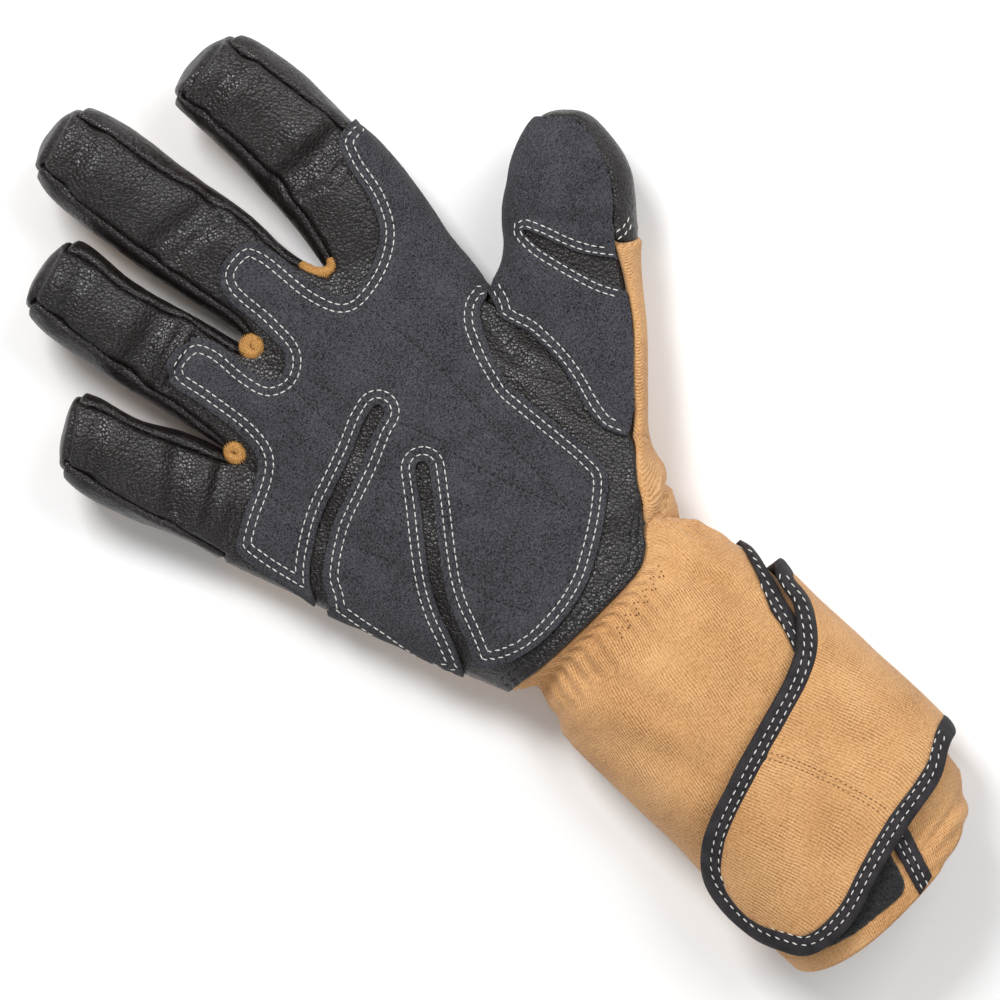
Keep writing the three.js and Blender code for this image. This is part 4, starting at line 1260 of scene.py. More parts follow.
FINGER_FOLDS = (
    Fold(((19, 152), (39, 155.4)), 0.5, 0.8), Fold(((-26, 167), (-8.6, 172.3)), 0.5, 0.8),
    Fold(((-56.5, 140.4), (-40.3, 145.5)), 0.5, 0.8), Fold(((-84, 98.8), (-70, 109)), 0.5, 0.8),
    Fold(((18, 144), (40, 148)), 0.7, 2.6), Fold(((-26, 158), (-7, 164)), 0.7, 2.6),
    Fold(((-54, 131), (-38, 137)), 0.6, 2.4), Fold(((-81, 92), (-68, 101)), 0.6, 2.4),
    Fold(((18, 114), (28, 112), (42, 112)), 1.0, 3.2),
    Fold(((22, 106.2), (30, 103.2), (37, 104.5)), 0.8, 1.0), Fold(((24, 108.2), (33, 106.4)), 0.5, 0.7),
    Fold(((-19, 120.3), (-8, 119.2), (1, 118.6)), 0.9, 1.1),
    Fold(((-18, 117.8), (-6, 116.6), (1, 116.2)), 0.5, 0.8),
    Fold(((-20, 126), (-4, 124), (3, 124)), 0.7, 3.0),
    Fold(((-49, 98.6), (-40, 101), (-30, 103.8)), 0.9, 1.1),
    Fold(((-47, 94.5), (-38, 97.2), (-30, 99.5)), 0.7, 0.9),
    Fold(((-50, 106), (-33, 110)), 0.8, 3.4), Fold(((-72, 66), (-58, 78)), 0.8, 3.0),
    Fold(((-66, 58), (-52, 66)), 0.5, 1.6), Fold(((68, 51), (76, 40), (82, 36)), 0.5, 2.2),
    Fold(((35, 44), (33, 30), (35, 15), (36, 2)), 0.5, 2.5),
)
FINGER_PADS = (
    Pad((31, 143), 8, 1.3), Pad((35, 119), 5.5, 1.7), Pad((29, 98), 7, 1.3), Pad((-15, 151), 9, 1.3),
    Pad((-8, 134), 7, 0.5), Pad((-3, 112), 5.5, 1.5), Pad((-47, 137), 7, 1.2), Pad((-44, 120), 8, 0.7),
    Pad((-39, 98), 4.5, 1.2), Pad((-70, 94), 8, 1.3), Pad((-60, 57), 7, 1.9), Pad((-66, 74), 7, 0.6),
    Pad((36, 20), 7, 1.9), Pad((22, -27), 6, 1.3), Pad((-4, 95), 6, 0.6),
)
LOBE = ((49, -6.6), (44.5, -10.6), (37.5, -16.3), (31.6, -21.4), (28.2, -26.5), (27.2, -31.4), (28, -34),
        (30.5, -35.3), (34.2, -34), (39, -31), (43, -27), (50, -19), (62, -6), (80, 12), (90, 24), (78, 30),
        (68, 15), (58, 3))
LOBE_FOLD = Fold(((30.2, -36), (34.6, -34.2), (39.6, -31), (42.6, -27)), 1.3, 0.9)


@dataclass
class Hand:
    """The sewn hand: one smooth skin, split into its panels."""

    wardrobe: Wardrobe
    levels: int = 3
    leather_wall: float = 1.3
    fold_gain: float = 1.6
    hem_rows: tuple[float, ...] = (1.8, 4.2)
    cap_rows: tuple = (
        ((77.2, 31), (79.8, 30.2), (83, 29.8), (86.6, 30.4)),
        ((78.4, 32.8), (81, 32), (84, 31.7), (87.4, 32.4)))
    seam_depth: float = 0.95
    seam_width: float = 0.85
    hem_floor: float = 21.0
    hem_right: float = 26.5
    hem_stitch: Stitch = Stitch(1.9, 0.62, 0.6, 2.5)
    correction: float = 0.85

    def shape(self) -> None:
        """Makes the smooth skin with its folds, seams and rolled edge."""
        cage = HandCage().build()
        wanted = coordinates(cage)
        places = wanted.copy()
        for _ in range(2):
            trial = refined(cage, self.levels)
            places = places + self.correction * (wanted - coordinates(trial)[:len(wanted)])
            set_coordinates(cage, places)
        self.mesh = refined(cage, self.levels)
        places = coordinates(self.mesh)
        places[:, 2] = np.maximum(places[:, 2], 0.0)
        self.corners = np.empty(len(self.mesh.loops), int)
        self.mesh.loops.foreach_get("vertex_index", self.corners)
        self.corners = self.corners.reshape(-1, 4)
        self.panel = np.empty(len(self.mesh.polygons), int)
        self.mesh.polygons.foreach_get("material_index", self.panel)
        self.soften(places)
        self.base = places.copy()
        set_coordinates(self.mesh, places)
        self.sink_seams(places)

    def soften(self, places: Points) -> None:
        """Adds the broad folds, pads and unevenness of the worn leather."""
        set_coordinates(self.mesh, places)
        normal = coordinates(self.mesh, "normal")
        front = smooth(normal[:, 2], 0.0, 0.6)
        flat = places[:, :2]
        height = 0.35 * rough(places, 17.0) + 0.16 * rough(places, 6.0, 1.0)
        fold = np.zeros(len(places))
        for item in FINGER_FOLDS:
            fold += self.fold_gain * crease(flat, item.line, item.depth, item.width)
        for pad in FINGER_PADS:
            fold += pad.height * bell(np.linalg.norm(flat - pad.place, axis=1), pad.radius)
        height += fold * front
        lobe = curve_through(LOBE, 1.0, closed=True)
        distance, _ = nearest_on(lobe, flat)
        within = np.where(inside(lobe, flat), distance, -distance)
        height += 1.7 * smooth(within, -0.4, 2.2) * smooth(normal[:, 2], -0.3, 0.3)
        height += crease(flat, LOBE_FOLD.line, LOBE_FOLD.depth, LOBE_FOLD.width) * smooth(places[:, 2], 8, 16)
        low = places[:, 2] < 1.2
        height[low] = np.minimum(height[low], 0.0) * 0.3
        places += normal * height[:, None]
        places[:, 2] = np.maximum(places[:, 2], 0.0)

    def seam_lines(self) -> tuple[np.ndarray, np.ndarray]:
        """Numbers of the vertices on seams between panels, and of those on the heel's edge."""
        edges = np.vstack([self.corners[:, [i, (i + 1) % 4]] for i in range(4)])
        faces = np.tile(np.arange(len(self.corners)), 4)
        key = np.sort(edges, axis=1) @ np.array([10**7, 1])
        order = np.argsort(key, kind="stable")
        key, faces, edges = key[order], faces[order], edges[order]
        same = key[1:] == key[:-1]
        first = np.flatnonzero(same)
        a, b = self.panel[faces[first]], self.panel[faces[first + 1]]
        plain = np.zeros(len(a), bool)
        for pair in (("palm_panel", "thumb_front"), WOVEN):
            joined = [PANELS.index(name) for name in pair]
            plain |= np.isin(a, joined) & np.isin(b, joined)
        seams = np.unique(edges[first][(a != b) & ~plain])
        paired = np.zeros(len(key), bool)
        paired[first] = paired[first + 1] = True
        return seams, np.unique(edges[~paired])

    def sink_seams(self, places: Points) -> None:
        """Draws the seams in and rolls the edge at the heel."""
        normal = coordinates(self.mesh, "normal")
        seams, heel = self.seam_lines()
        distance = distance_to(self.base[seams], self.base)
        pucker = 0.55 + 0.9 * rough(self.base, 2.6, 3.0)
        height = 0.3 * pucker * bell(distance - 2.0, 1.3) - self.seam_depth * bell(distance, self.seam_width)
        rim = self.base[heel]
        rim = rim[np.argsort(rim[:, 0])]
        self.hem = rim[(rim[:, 2] > self.hem_floor) & (rim[:, 0] < self.hem_right)][:, :2]
        edge, _ = nearest_on(resample(self.hem, 1.0), self.base[:, :2], closed=False)
        sewn = smooth(normal[:, 2], 0.0, 0.4) * (self.base[:, 1] < -20) * (self.base[:, 0] < 29)
        height += sewn * bell(edge - 0.6, 1.1) * (1 + 0.5 * rough(self.base, 3.0, 7.0))
        for row in self.hem_rows:
            height -= sewn * 0.35 * bell(edge - row, 0.6)
        height += sewn * 0.5 * bell(edge - 3.0, 0.9)
        bare = (self.base[:, 2] < self.hem_floor) | (self.base[:, 0] > self.hem_right)
        height -= 0.9 * bell(distance_to(rim, self.base), 2.0) * bare
        places = self.base + normal * height[:, None]
        places[:, 2] = np.maximum(places[:, 2], 0.0)
        set_coordinates(self.mesh, places)

    def hem_stitches(self) -> None:
        """Sews the dark rows along the palm's hem and the white ones along the thumb cap's."""
        sewing = Sewing(surface_of(self.mesh))
        line = resample(self.hem, 1.0)
        for row in self.hem_rows:
            sewing.run(curve_through(beside(line, row)[::4], 1.0), self.hem_stitch)
        sewing.finish(self.wardrobe, "palm_hem_stitching", Slot.BLACK_THREAD)
        white = Sewing(sewing.surface)
        for row in self.cap_rows:
            white.run(curve_through(row, 0.5), Stitch(), least_slope=0.03)
        white.finish(self.wardrobe, "thumb_cap_stitching", Slot.WHITE_THREAD)

    def panels(self) -> None:
        """Puts each panel in the scene as its own piece."""
        for index, name in enumerate(PANELS):
            bm = bmesh.new()
            bm.from_mesh(self.mesh)
            gone = [face for face in bm.faces if face.material_index != index]
            bmesh.ops.delete(bm, geom=gone, context="FACES")
            flat = unrolled(places_of(bm))
            write_flat(bm, flat @ THUMB_WEAVE if name == "thumb_back" else flat)
            slot = Slot.KNIT if name in WOVEN else Slot.LEATHER
            piece = self.wardrobe.dress(f"{name}_skin", bm, slot, [name])
            give_wall(piece, self.leather_wall)

    def sheet_over(self, names: Sequence[str], region: Region, lift: float,
                   cell: float = 1.0) -> bmesh.types.BMesh:
        """A second layer over some panels, cut to a region.

        Args:
            names: Panels that it lies on.
            region: Its cut shape seen from above.
            lift: Distance above the leather in millimetres.
            cell: Size of its faces.

        Returns:
            The sheet.
        """
        mesh = self.mesh.copy()
        set_coordinates(mesh, self.base)
        bm = bmesh.new()
        bm.from_mesh(mesh)
        bm.normal_update()
        wanted = {PANELS.index(name) for name in names}
        margin = region.outline.min(0) - 2, region.outline.max(0) + 2

        def gone(face: bmesh.types.BMFace) -> bool:
            """Whether a face can't be part of the sheet."""
            x, y = face.verts[0].co[:2]
            near = margin[0][0] < x < margin[1][0] and margin[0][1] < y < margin[1][1]
            return face.material_index not in wanted or not near

        bmesh.ops.delete(bm, geom=[face for face in bm.faces if gone(face)], context="FACES")
        long = [edge for edge in bm.edges if edge.calc_length() > 1.5 * cell]
        bmesh.ops.subdivide_edges(bm, edges=long, cuts=1, use_grid_fill=True)
        trim(bm, region, cell)
        bump_out(bm, np.full(len(bm.verts), lift))
        return bm


def unrolled(places: Points) -> Points:
    """Flat coordinates that keep the weave's size where the hand turns up at its sides."""
    outward = np.clip(places[:, 0] / 20, -1, 1)
    return np.column_stack([places[:, 0] + outward * places[:, 2], places[:, 1]])


# The suede layers


def palm_place(across: float, along: float) -> tuple[float, float]:
    """Place on the palm from shares of its width and length."""
    return across * PALM_WIDTH, along * PALM_LENGTH


def round_ended(corners: Sequence, width: float) -> Points:
    """Outline of a slot of a width along a line, with a round end."""
    line = curve_through(corners, 0.6)
    ahead = line[-1] - line[-2]
    heading = math.atan2(ahead[1], ahead[0])
    angles = heading - math.pi / 2 + np.linspace(0, math.pi, 9)[1:-1]
    end = line[-1] + width / 2 * np.column_stack([np.cos(angles), np.sin(angles)])
    return np.vstack([beside(line, -width / 2), end, beside(line, width / 2)[::-1]])


@dataclass
class Overlays:
    """The suede layers on the palm and the thumb, and everything sewn on them."""

    wardrobe: Wardrobe
    hand: Hand
    thickness: float = 1.1
    slot_width: float = 4.2
    first_row: float = 2.0
    second_row: float = 4.3
    thumb_rows: tuple = ((2.0 - 0.4, 0.8), (4.3 - 0.4, 2.7))
    palm_outline: tuple = (
        (-0.45, -0.19), (-0.5, -0.02), (-0.535, 0.16), (-0.57, 0.3), (-0.572, 0.36), (-0.52, 0.395),
        (-0.37, 0.47), (-0.355, 0.53), (-0.372, 0.66), (-0.386, 0.75), (-0.355, 0.785), (-0.27, 0.785),
        (-0.237, 0.74),
        (-0.222, 0.63), (-0.205, 0.585), (-0.165, 0.575), (-0.128, 0.6), (-0.12, 0.68), (-0.125, 0.81),
        (-0.09, 0.855), (0, 0.86), (0.03, 0.82), (0.054, 0.66), (0.085, 0.6), (0.145, 0.597), (0.22, 0.618),
        (0.275, 0.655), (0.312, 0.72), (0.335, 0.82), (0.365, 0.872), (0.43, 0.885), (0.6, 0.885),
        (0.6, 0.44), (0.42, 0.385), (0.372, 0.352), (0.347, 0.36), (0.321, 0.358), (0.29, 0.335),
        (0.27, 0.3), (0.25, 0.255), (0.237, 0.21), (0.229, 0.175), (0.234, 0.12), (0.24, 0.064),
        (0.247, 0), (0.253, -0.08), (0.246, -0.13),
        (0.179, -0.19), (0.068, -0.255), (0, -0.285), (-0.1, -0.305), (-0.215, -0.303), (-0.3, -0.275),
        (-0.335, -0.25))
    palm_slots: tuple = (
        ((-0.6, 0.07), (-0.52, 0.12), (-0.485, 0.172), (-0.43, 0.214), (-0.35, 0.257), (-0.26, 0.286),
         (-0.174, 0.314), (-0.1, 0.343), (-0.062, 0.352)),
        ((-0.4, -0.29), (-0.355, -0.22), (-0.324, -0.155), (-0.3, -0.095), (-0.268, -0.04),
         (-0.226, 0.014), (-0.181, 0.067), (-0.139, 0.115), (-0.083, 0.182)))
    thumb_outline: tuple = (
        (0.24, -1.31), (0.213, -1.242), (0.159, -1.174), (0.128, -1.006), (0.0975, -0.761), (0.055, -0.57),
        (0.007, -0.382), (-0.05, -0.196), (-0.106, -0.049), (-0.171, 0.096), (-0.236, 0.254), (-0.283, 0.41),
        (-0.307, 0.598), (-0.315, 0.8), (-0.246, 0.845), (-0.161, 0.86), (0.005, 0.84), (0.129, 0.785),
        (0.254, 0.715), (0.36, 0.62), (0.465, 0.51), (0.584, 0.44), (0.745, 0.34), (0.892, 0.1), (1.0, -0.3),
        (1.09, -0.7), (1.05, -1.2), (0.9, -1.6), (0.5, -1.6), (0.3, -1.45))
    leaf_corners: int = 14
    thumb_slot: tuple = (
        (0.523, -0.884), (0.459, -0.66), (0.404, -0.33), (0.356, -0.003), (0.316, 0.323), (0.291, 0.701),
        (0.28, 1.0), (0.42, 1.0), (0.42, 0.6), (0.423, 0.35), (0.431, 0.092), (0.457, -0.232),
        (0.501, -0.613))
    slot_corners: int = 6
    quilting_stitch: Stitch = Stitch(length=1.3, width=0.5, height=0.4, pitch=2.1)
    quilting: tuple = (
        ((-20, 70), (-20, 20)), ((-15, 66), (-12, 56)), ((12, 72), (14, 60), (15, 45), (14, 10), (13, -15)),
        ((0, 20), (5, 3), (13, -18)), ((20, 65), (30, 55)), ((-48, 50), (-46, 40)), ((-40, 20), (-35, 8)),
        ((-26, -8), (-22, -20), (-17, -30)), ((-5, 38), (0, 25)))

    def build(self) -> None:
        """Builds both layers and their stitches."""
        outline = curve_through([palm_place(*corner) for corner in self.palm_outline], 0.8, closed=True)
        slots = [round_ended([palm_place(*c) for c in slot], self.slot_width) for slot in self.palm_slots]
        palm = Region(outline, slots)
        thumb_corners = [THUMB.place(a, b, 0)[:2] for a, b in self.thumb_outline]
        slot_corners = [THUMB.place(a, b, 0)[:2] for a, b in self.thumb_slot]
        thumb = Region(curve_through(thumb_corners, 0.8, closed=True),
                       [curve_through(slot_corners, 0.6, closed=True)])
        rows = palm.rows(self.first_row) + palm.rows(self.second_row)
        self.layer("palm_overlay", palm, ("palm_panel", "index_outer_side"), rows, self.quilting)
        leaf = curve_through(thumb_corners[:self.leaf_corners], 0.8)
        under = curve_through(slot_corners[:self.slot_corners], 0.8)
        over = curve_through(slot_corners[self.slot_corners + 2:] + slot_corners[:1], 0.8)
        rows = []
        for leaf_depth, slot_depth in self.thumb_rows:
            rows += thumb.rows(leaf_depth, leaf) + thumb.rows(slot_depth, under, over)
        self.layer("thumb_overlay", thumb, ("thumb_front", "palm_panel"), rows, ())

    def layer(self, name: str, region: Region, panels: Sequence[str], seams: list[Points],
              quilting: Sequence) -> None:
        """Builds one layer.

        Args:
            name: CAD node that it stands for.
            region: Its cut shape.
            panels: Panels that it lies on.
            seams: Lines of white stitches along its edges.
            quilting: Lines of dark stitches across it.
        """
        bm = self.hand.sheet_over(panels, region, LAYER_GAP)
        flat = places_of(bm)[:, :2]
        signed, _ = region.signed(flat)
        height = 0.25 * smooth(-signed, 4.5, 9.0) + 0.12 * rough(flat, 9.0, 5.0)
        for line in seams:
            distance, _ = nearest_on(line, flat, closed=False)
            height -= 0.3 * bell(distance, 0.6)
        for line in quilting:
            distance, _ = nearest_on(curve_through(line, 1.0), flat, closed=False)
            height -= 0.35 * bell(distance, 1.1)
        bump_out(bm, height)
        top = bm.copy()
        bump_out(top, np.full(len(top.verts), self.thickness))
        surface = BVHTree.FromBMesh(top)
        top.free()
        piece = self.wardrobe.dress(f"{name}_suede", bm, Slot.SUEDE, [name])
        give_wall(piece, self.thickness, inward=False, edge=0.35)
        white = Sewing(surface)
        for line in seams:
            white.run(line, Stitch())
        white.finish(self.wardrobe, f"{name}_stitching", Slot.WHITE_THREAD)
        if quilting:
            dark = Sewing(surface)
            for line in quilting:
                dark.run(curve_through(line, 1.0), self.quilting_stitch)
            dark.finish(self.wardrobe, f"{name}_quilting", Slot.BLACK_THREAD)


@dataclass(frozen=True)
class Tack:
    """One thread tack: its line in the flat, its width, and whether it is a button of thread."""

    name: str
    corners: tuple[tuple[float, float], ...]
    width: float
    closed: bool = False


@dataclass
class Tacks:
    """Satin-stitched thread tacks at the feet of the finger gaps."""

    wardrobe: Wardrobe
    hand: Hand
    thread: float = 0.42
    height: float = 2.9
    sag: float = 0.9
    lean: float = 0.16
    tacks: tuple[Tack, ...] = (
        Tack("tack_index_middle",
             ((8.1, 92.2), (8, 90), (8.8, 87.4), (11.2, 84.9), (13.9, 84.7), (15.2, 87)), 4.4),
        Tack("tack_middle_ring", ((-17.9, 85.3), (-20.2, 87.3), (-22.3, 84.9), (-20, 82.7)), 4.3, True),
        Tack("tack_ring_little", ((-44.4, 66.2), (-46.2, 68.4), (-48, 66), (-46.2, 63.7)), 3.7, True),
    )

    def build(self) -> None:
        """Builds every tack as a row of raised threads."""
        surface = surface_of(self.hand.mesh)
        for tack in self.tacks:
            self.sew(tack, surface)

    def sew(self, tack: Tack, surface: BVHTree) -> None:
        """Sews one tack.

        Args:
            tack: The tack.
            surface: The skin that it lies on.
        """
        sewing = Sewing(surface)
        step = self.thread * (0.7 if tack.closed else 1.0)
        line = curve_through(tack.corners, step, closed=tack.closed)
        if tack.closed:
            ahead = np.roll(line, -1, axis=0) - np.roll(line, 1, axis=0)
        else:
            ahead = np.gradient(line, axis=0)
        hits = [surface.ray_cast(Vector((*spot, ABOVE)), DOWN)[0] for spot in line]
        heights = np.array([hit.z if hit else 0.0 for hit in hits])
        heights = np.maximum(heights, heights.max() - self.sag)
        wave = rough(np.column_stack([np.arange(len(line)), heights]), 1.7, 4.0)
        for i, spot in enumerate(line):
            share = i / (len(line) - 1)
            width = tack.width * (1 + 0.07 * wave[i])
            if not tack.closed:
                width *= 1 - 0.45 * abs(2 * share - 1) ** 5
            across = Vector((-ahead[i][1], ahead[i][0], 0)).normalized()
            lean = Vector((*ahead[i], 0)).normalized() * self.lean
            middle = Vector((*spot, heights[i] + 0.3))
            kind = Stitch(length=width, width=self.thread * 1.5, height=self.height, lift=0.0)
            sewing.lay(middle, (across + lean).normalized(), Vector((0, 0, 1)), kind)
        sewing.finish(self.wardrobe, f"{tack.name}_thread", Slot.TAN_THREAD, [tack.name])


# The cuff


@dataclass
class CuffForm:
    """The shape of the cuff and the flat coordinates of the cloth on it."""

    length: float = 130
    rear: float = 119
    width: float = 80
    depth: float = 49
    clearance: float = 0.7
    fade: float = 0.12
    measures: int = 2000
    angles: Points = field(init=False)
    reach: Points = field(init=False)
    girth: float = field(init=False)
    rows: tuple = (
        (0, -0.985, 0.875, 0.94), (0.03, -0.9, 0.89, 0.905), (0.065, -0.775, 0.945, 0.885),
        (0.11, -0.83, 1.0, 0.915), (0.16, -0.905, 1.035, 0.95), (0.2, -0.915, 1.045, 0.97),
        (0.32, -0.905, 1.055, 1), (0.5, -0.9, 1.085, 1), (0.74, -0.91, 1.115, 1),
        (0.84, -0.91, 1.02, 0.99), (0.92, -0.9, 0.87, 0.98), (1, -0.84, 0.7, 0.95))
    folds: tuple[Fold, ...] = (
        Fold(((-38, -62), (-24, -80), (-14, -98)), 0.7, 5.0),
        Fold(((18, -44), (28, -62), (33, -80)), 0.9, 3.5),
        Fold(((-2, -48), (4, -66), (8, -90)), 0.5, 4.5), Fold(((-24, -48), (-14, -62), (-8, -84)), 0.6, 4.0),
        Fold(((-36, -108), (-26, -128), (-18, -150)), 0.5, 6.0),
    )

    def __post_init__(self) -> None:
        """Measures once round the middle section."""
        self.angles = np.radians(np.linspace(-95, 365, self.measures))
        left, right, depth = self.at(np.full(self.measures, 0.5))
        x, z = section(left, right, depth, self.angles)
        reach = np.concatenate([[0.0], np.cumsum(np.hypot(np.diff(x), np.diff(z)))])
        self.reach = reach - np.interp(0.0, self.angles, reach)
        self.girth = float(self.round_to(2 * math.pi))

    def round_to(self, angle: Points | float) -> Points:
        """Distance round the cuff, from its thumb side, to an angle."""
        return np.interp(angle, self.angles, self.reach)

    def angle_at(self, distance: Points) -> Points:
        """Angle at a distance round the cuff."""
        return np.interp(distance, self.reach, self.angles)

    def spots(self, shares: Sequence[tuple[float, float]]) -> Points:
        """Places on the cuff seen from above, from shares of its width and length."""
        along = np.array(shares)
        return NEARER * np.column_stack([along[:, 0] * self.width, PALM_HEEL + along[:, 1] * self.length])

    def at(self, along: Points) -> tuple[Points, Points, Points]:
        """Left end, right end and height of the section at shares of the length."""
        table = np.array(self.rows)
        share = np.clip(along, 0, 1)
        i = np.clip(np.searchsorted(table[:, 0], share) - 1, 0, len(table) - 2)
        t = smooth((share - table[i, 0]) / (table[i + 1, 0] - table[i, 0]), 0, 1)
        row = table[i, 1:] * (1 - t)[:, None] + table[i + 1, 1:] * t[:, None]
        return row[:, 0] * self.width / 2, row[:, 1] * self.width / 2, row[:, 2] * self.depth

    def hem(self, angle: Points) -> Points:
        """Length of the cuff at an angle."""
        return NEARER * (self.rear + (self.length - self.rear) * np.maximum(np.sin(angle), 0) ** 0.8)

    def slack(self, x: Points, y: Points, z: Points) -> Points:
        """Height of the broad folds, which every layer of the cuff follows."""
        flat = np.column_stack([x, y])
        upper = smooth(z, 18, 34)
        height = 0.45 * rough(np.column_stack([x, y, z]), 24.0, 8.0)
        for item in self.folds:
            height = height + upper * crease(flat, item.line, item.depth, item.width)
        return height * smooth(-y, 44, 54) * smooth(z, 1.0, 5.0)

    def point(self, angle: Points, share: Points, offset: Points) -> Points:
        """Point of the cuff at an angle and a share of its length, at a distance outside it."""
        length = share * self.hem(angle)
        left, right, depth = self.at(length / self.length)
        y = heel_line(angle) * (1 - np.minimum(share / self.fade, 1))
        y = y + (PALM_HEEL - length) * np.minimum(share / self.fade, 1) - self.clearance
        x, z = section(left, right, depth, angle, 0.0)
        extra = self.slack(x, y, z)
        x, z = section(left, right, depth, angle, offset + extra)
        return np.column_stack([x, y, z])

    def place(self, flat: Points, offset: Points | float) -> Points:
        """Point of the cuff from the cloth's flat coordinates.

        Args:
            flat: Distance round the cuff from its thumb side, and y.
            offset: Distance outside the cuff.

        Returns:
            The points.
        """
        angle = self.angle_at(flat[:, 0])
        share = (PALM_HEEL - self.clearance - flat[:, 1]) / self.hem(angle)
        return self.point(angle, share, np.broadcast_to(offset, len(flat)))

    def develop(self, seen: Points, offset: float = 0.0) -> Points:
        """Flat coordinates of places on the upper side seen from above."""
        along = (PALM_HEEL - self.clearance - seen[:, 1]) / self.length
        left, right, _ = self.at(along)
        share = (seen[:, 0] - (left + right) / 2) / ((right - left) / 2 + offset)
        c = np.sign(share) * np.minimum(np.abs(share), 1.0) ** 1.2
        return np.column_stack([self.round_to(np.arccos(c)), seen[:, 1]])


@dataclass
class Cuff:
    """The woven cuff, its slit, closing flap, bindings and loop panel."""

    wardrobe: Wardrobe
    form: CuffForm = field(default_factory=CuffForm)
    wall: float = 1.7
    root_height: float = 9.8
    slit_top: tuple = (42.3, -59.4)
    slit_hem: tuple = (8.0, -169.8)
    slit_width: tuple = (5.0, 7.2)
    binding_width: float = 7.2
    white_stitch: Stitch = Stitch(pitch=2.7)
    dark_stitch: Stitch = Stitch(length=1.0, width=0.6, height=0.45, pitch=2.7)
    # Small stitches of the flap seam, in a thread darkened to paint the shade of its needle holes
    hole_shade_stitch: Stitch = Stitch(length=0.9, width=0.34, height=0.25, pitch=1.7)
    zigzag_stitch: Stitch = Stitch(length=0.7, width=0.5, height=0.3, pitch=1.7)
    dark_shift: float = 1.3
    zigzag_reach: float = 1.9
    sewn_drop: float = 2.3
    sewn_reach: float = 16.0
    flap_seam: tuple = ((1.9, -109.6), (7.2, -120.5), (11.2, -132.7), (14.4, -145.5))
    elastic: tuple = ((20, -48.3), (12, -50.2), (4, -51.8), (-4, -53.4))
    flap_edge: tuple = (
        (0.75, -0.255), (0.555, -0.265), (0.525, -0.34), (0.425, -0.418), (0.325, -0.452), (0.15, -0.485),
        (-0.095, -0.53), (-0.318, -0.585), (-0.42, -0.64), (-0.455, -0.72), (-0.447, -0.8), (-0.405, -0.86),
        (-0.36, -0.9), (-0.28, -0.915), (-0.17, -0.912), (0, -0.88), (0.2, -0.848), (0.42, -0.825),
        (0.54, -0.79), (0.75, -0.778))
    loop_edge: tuple = (
        (-0.41, -0.7), (-0.41, -0.86), (-0.36, -0.925), (-0.25, -0.958), (-0.1, -0.972), (0.04, -0.972),
        (0.09, -0.9), (0.15, -0.78), (0.12, -0.7))
    gathers: tuple = (
        ((12, -156), (40, -148)), ((13, -159), (40, -154)), ((13, -162), (37, -160)),
        ((12, -165), (32, -166)), ((12, -168), (26, -171)), ((16, -153), (42, -142)))
    middle: tuple[float, float, float] = (4.0, 0.0, 24.0)
    cells: tuple[int, int] = (260, 150)
    tuck: float = 0.045
    gather_pitch: float = 5.2
    flap_angle: float = -19.5
    flap_lift: float = 4.5
    flap_wall: float = 1.9
    flap_near: float = 3.0
    flap_seen: float = 44.6
    flap_rows: tuple[float, float] = (0.0, 1.9)

    def build(self) -> None:
        """Builds the cuff and everything on it."""
        self.body()
        self.elastic_seam()
        self.slit_binding()
        self.loop_panel()
        self.flap()

    def body(self) -> None:
        """Builds the body and the gusset from one tube of cloth."""
        form = self.form
        bm = bmesh.new()
        bmesh.ops.create_grid(bm, x_segments=self.cells[0], y_segments=self.cells[1], size=1.0)
        raw = places_of(bm)
        unit = (raw - raw.min(0))[:, :2] / (raw.max(0) - raw.min(0))[:2]
        flat_x = unit[:, 0] * form.girth
        angle = form.angle_at(flat_x)
        share = unit[:, 1] * (1 + self.tuck) - self.tuck
        places = form.point(angle, np.maximum(share, 0.0), np.zeros(len(share)))
        places[:, 1] -= np.minimum(share, 0.0) * form.length
        turn = np.degrees(angle)
        covered = smooth(turn, 36, 48) * smooth(-turn, -185, -172)
        inset = (0.7 + 1.9 * covered) * (1 - smooth(share, -0.012, 0.022))
        end = (1 - share) * form.hem(angle)
        hem = 0.55 * smooth(-end, -7.5, -5.5) - 0.35 * bell(end - 6.6, 0.5)
        upper = smooth(places[:, 2], 20, 36)
        seen = places[:, :2]
        depth = heel_line(angle) - form.clearance - places[:, 1]
        ripple = np.sin(flat_x * 2 * math.pi / self.gather_pitch + 2.2 * rough(seen, 14.0, 2.0))
        small = 0.45 * ripple * smooth(depth, 0.0, 2.5) * (1 - smooth(depth, 6, 20))
        small += 0.16 * rough(places, 3.2, 4.0) * (1 - smooth(depth, 14, 34))
        small += 0.1 * rough(places, 5.0, 6.0)
        for line in self.gathers:
            small += upper * crease(seen, line, 0.55, 0.9)
        move_to(bm, places)
        self.face_out(bm)
        bump_out(bm, small + hem - inset)
        write_flat(bm, np.column_stack([flat_x, places[:, 1]]))
        bmesh.ops.remove_doubles(bm, verts=bm.verts, dist=1e-3)
        for vert in bm.verts:
            vert.co.z = max(vert.co.z, 0.0)
        cut = self.gusset_side(bm)
        gusset = bm.copy()
        for part, gone in ((bm, True), (gusset, False)):
            faces = [face for face, side in zip(part.faces, cut) if side == gone]
            bmesh.ops.delete(part, geom=faces, context="FACES")
        self.skin = bm.copy()
        give_wall(self.wardrobe.dress("cuff_body_cloth", bm, Slot.KNIT, ["cuff_body"]), self.wall)
        give_wall(self.wardrobe.dress("cuff_gusset_cloth", gusset, Slot.KNIT, ["cuff_gusset"]), self.wall)

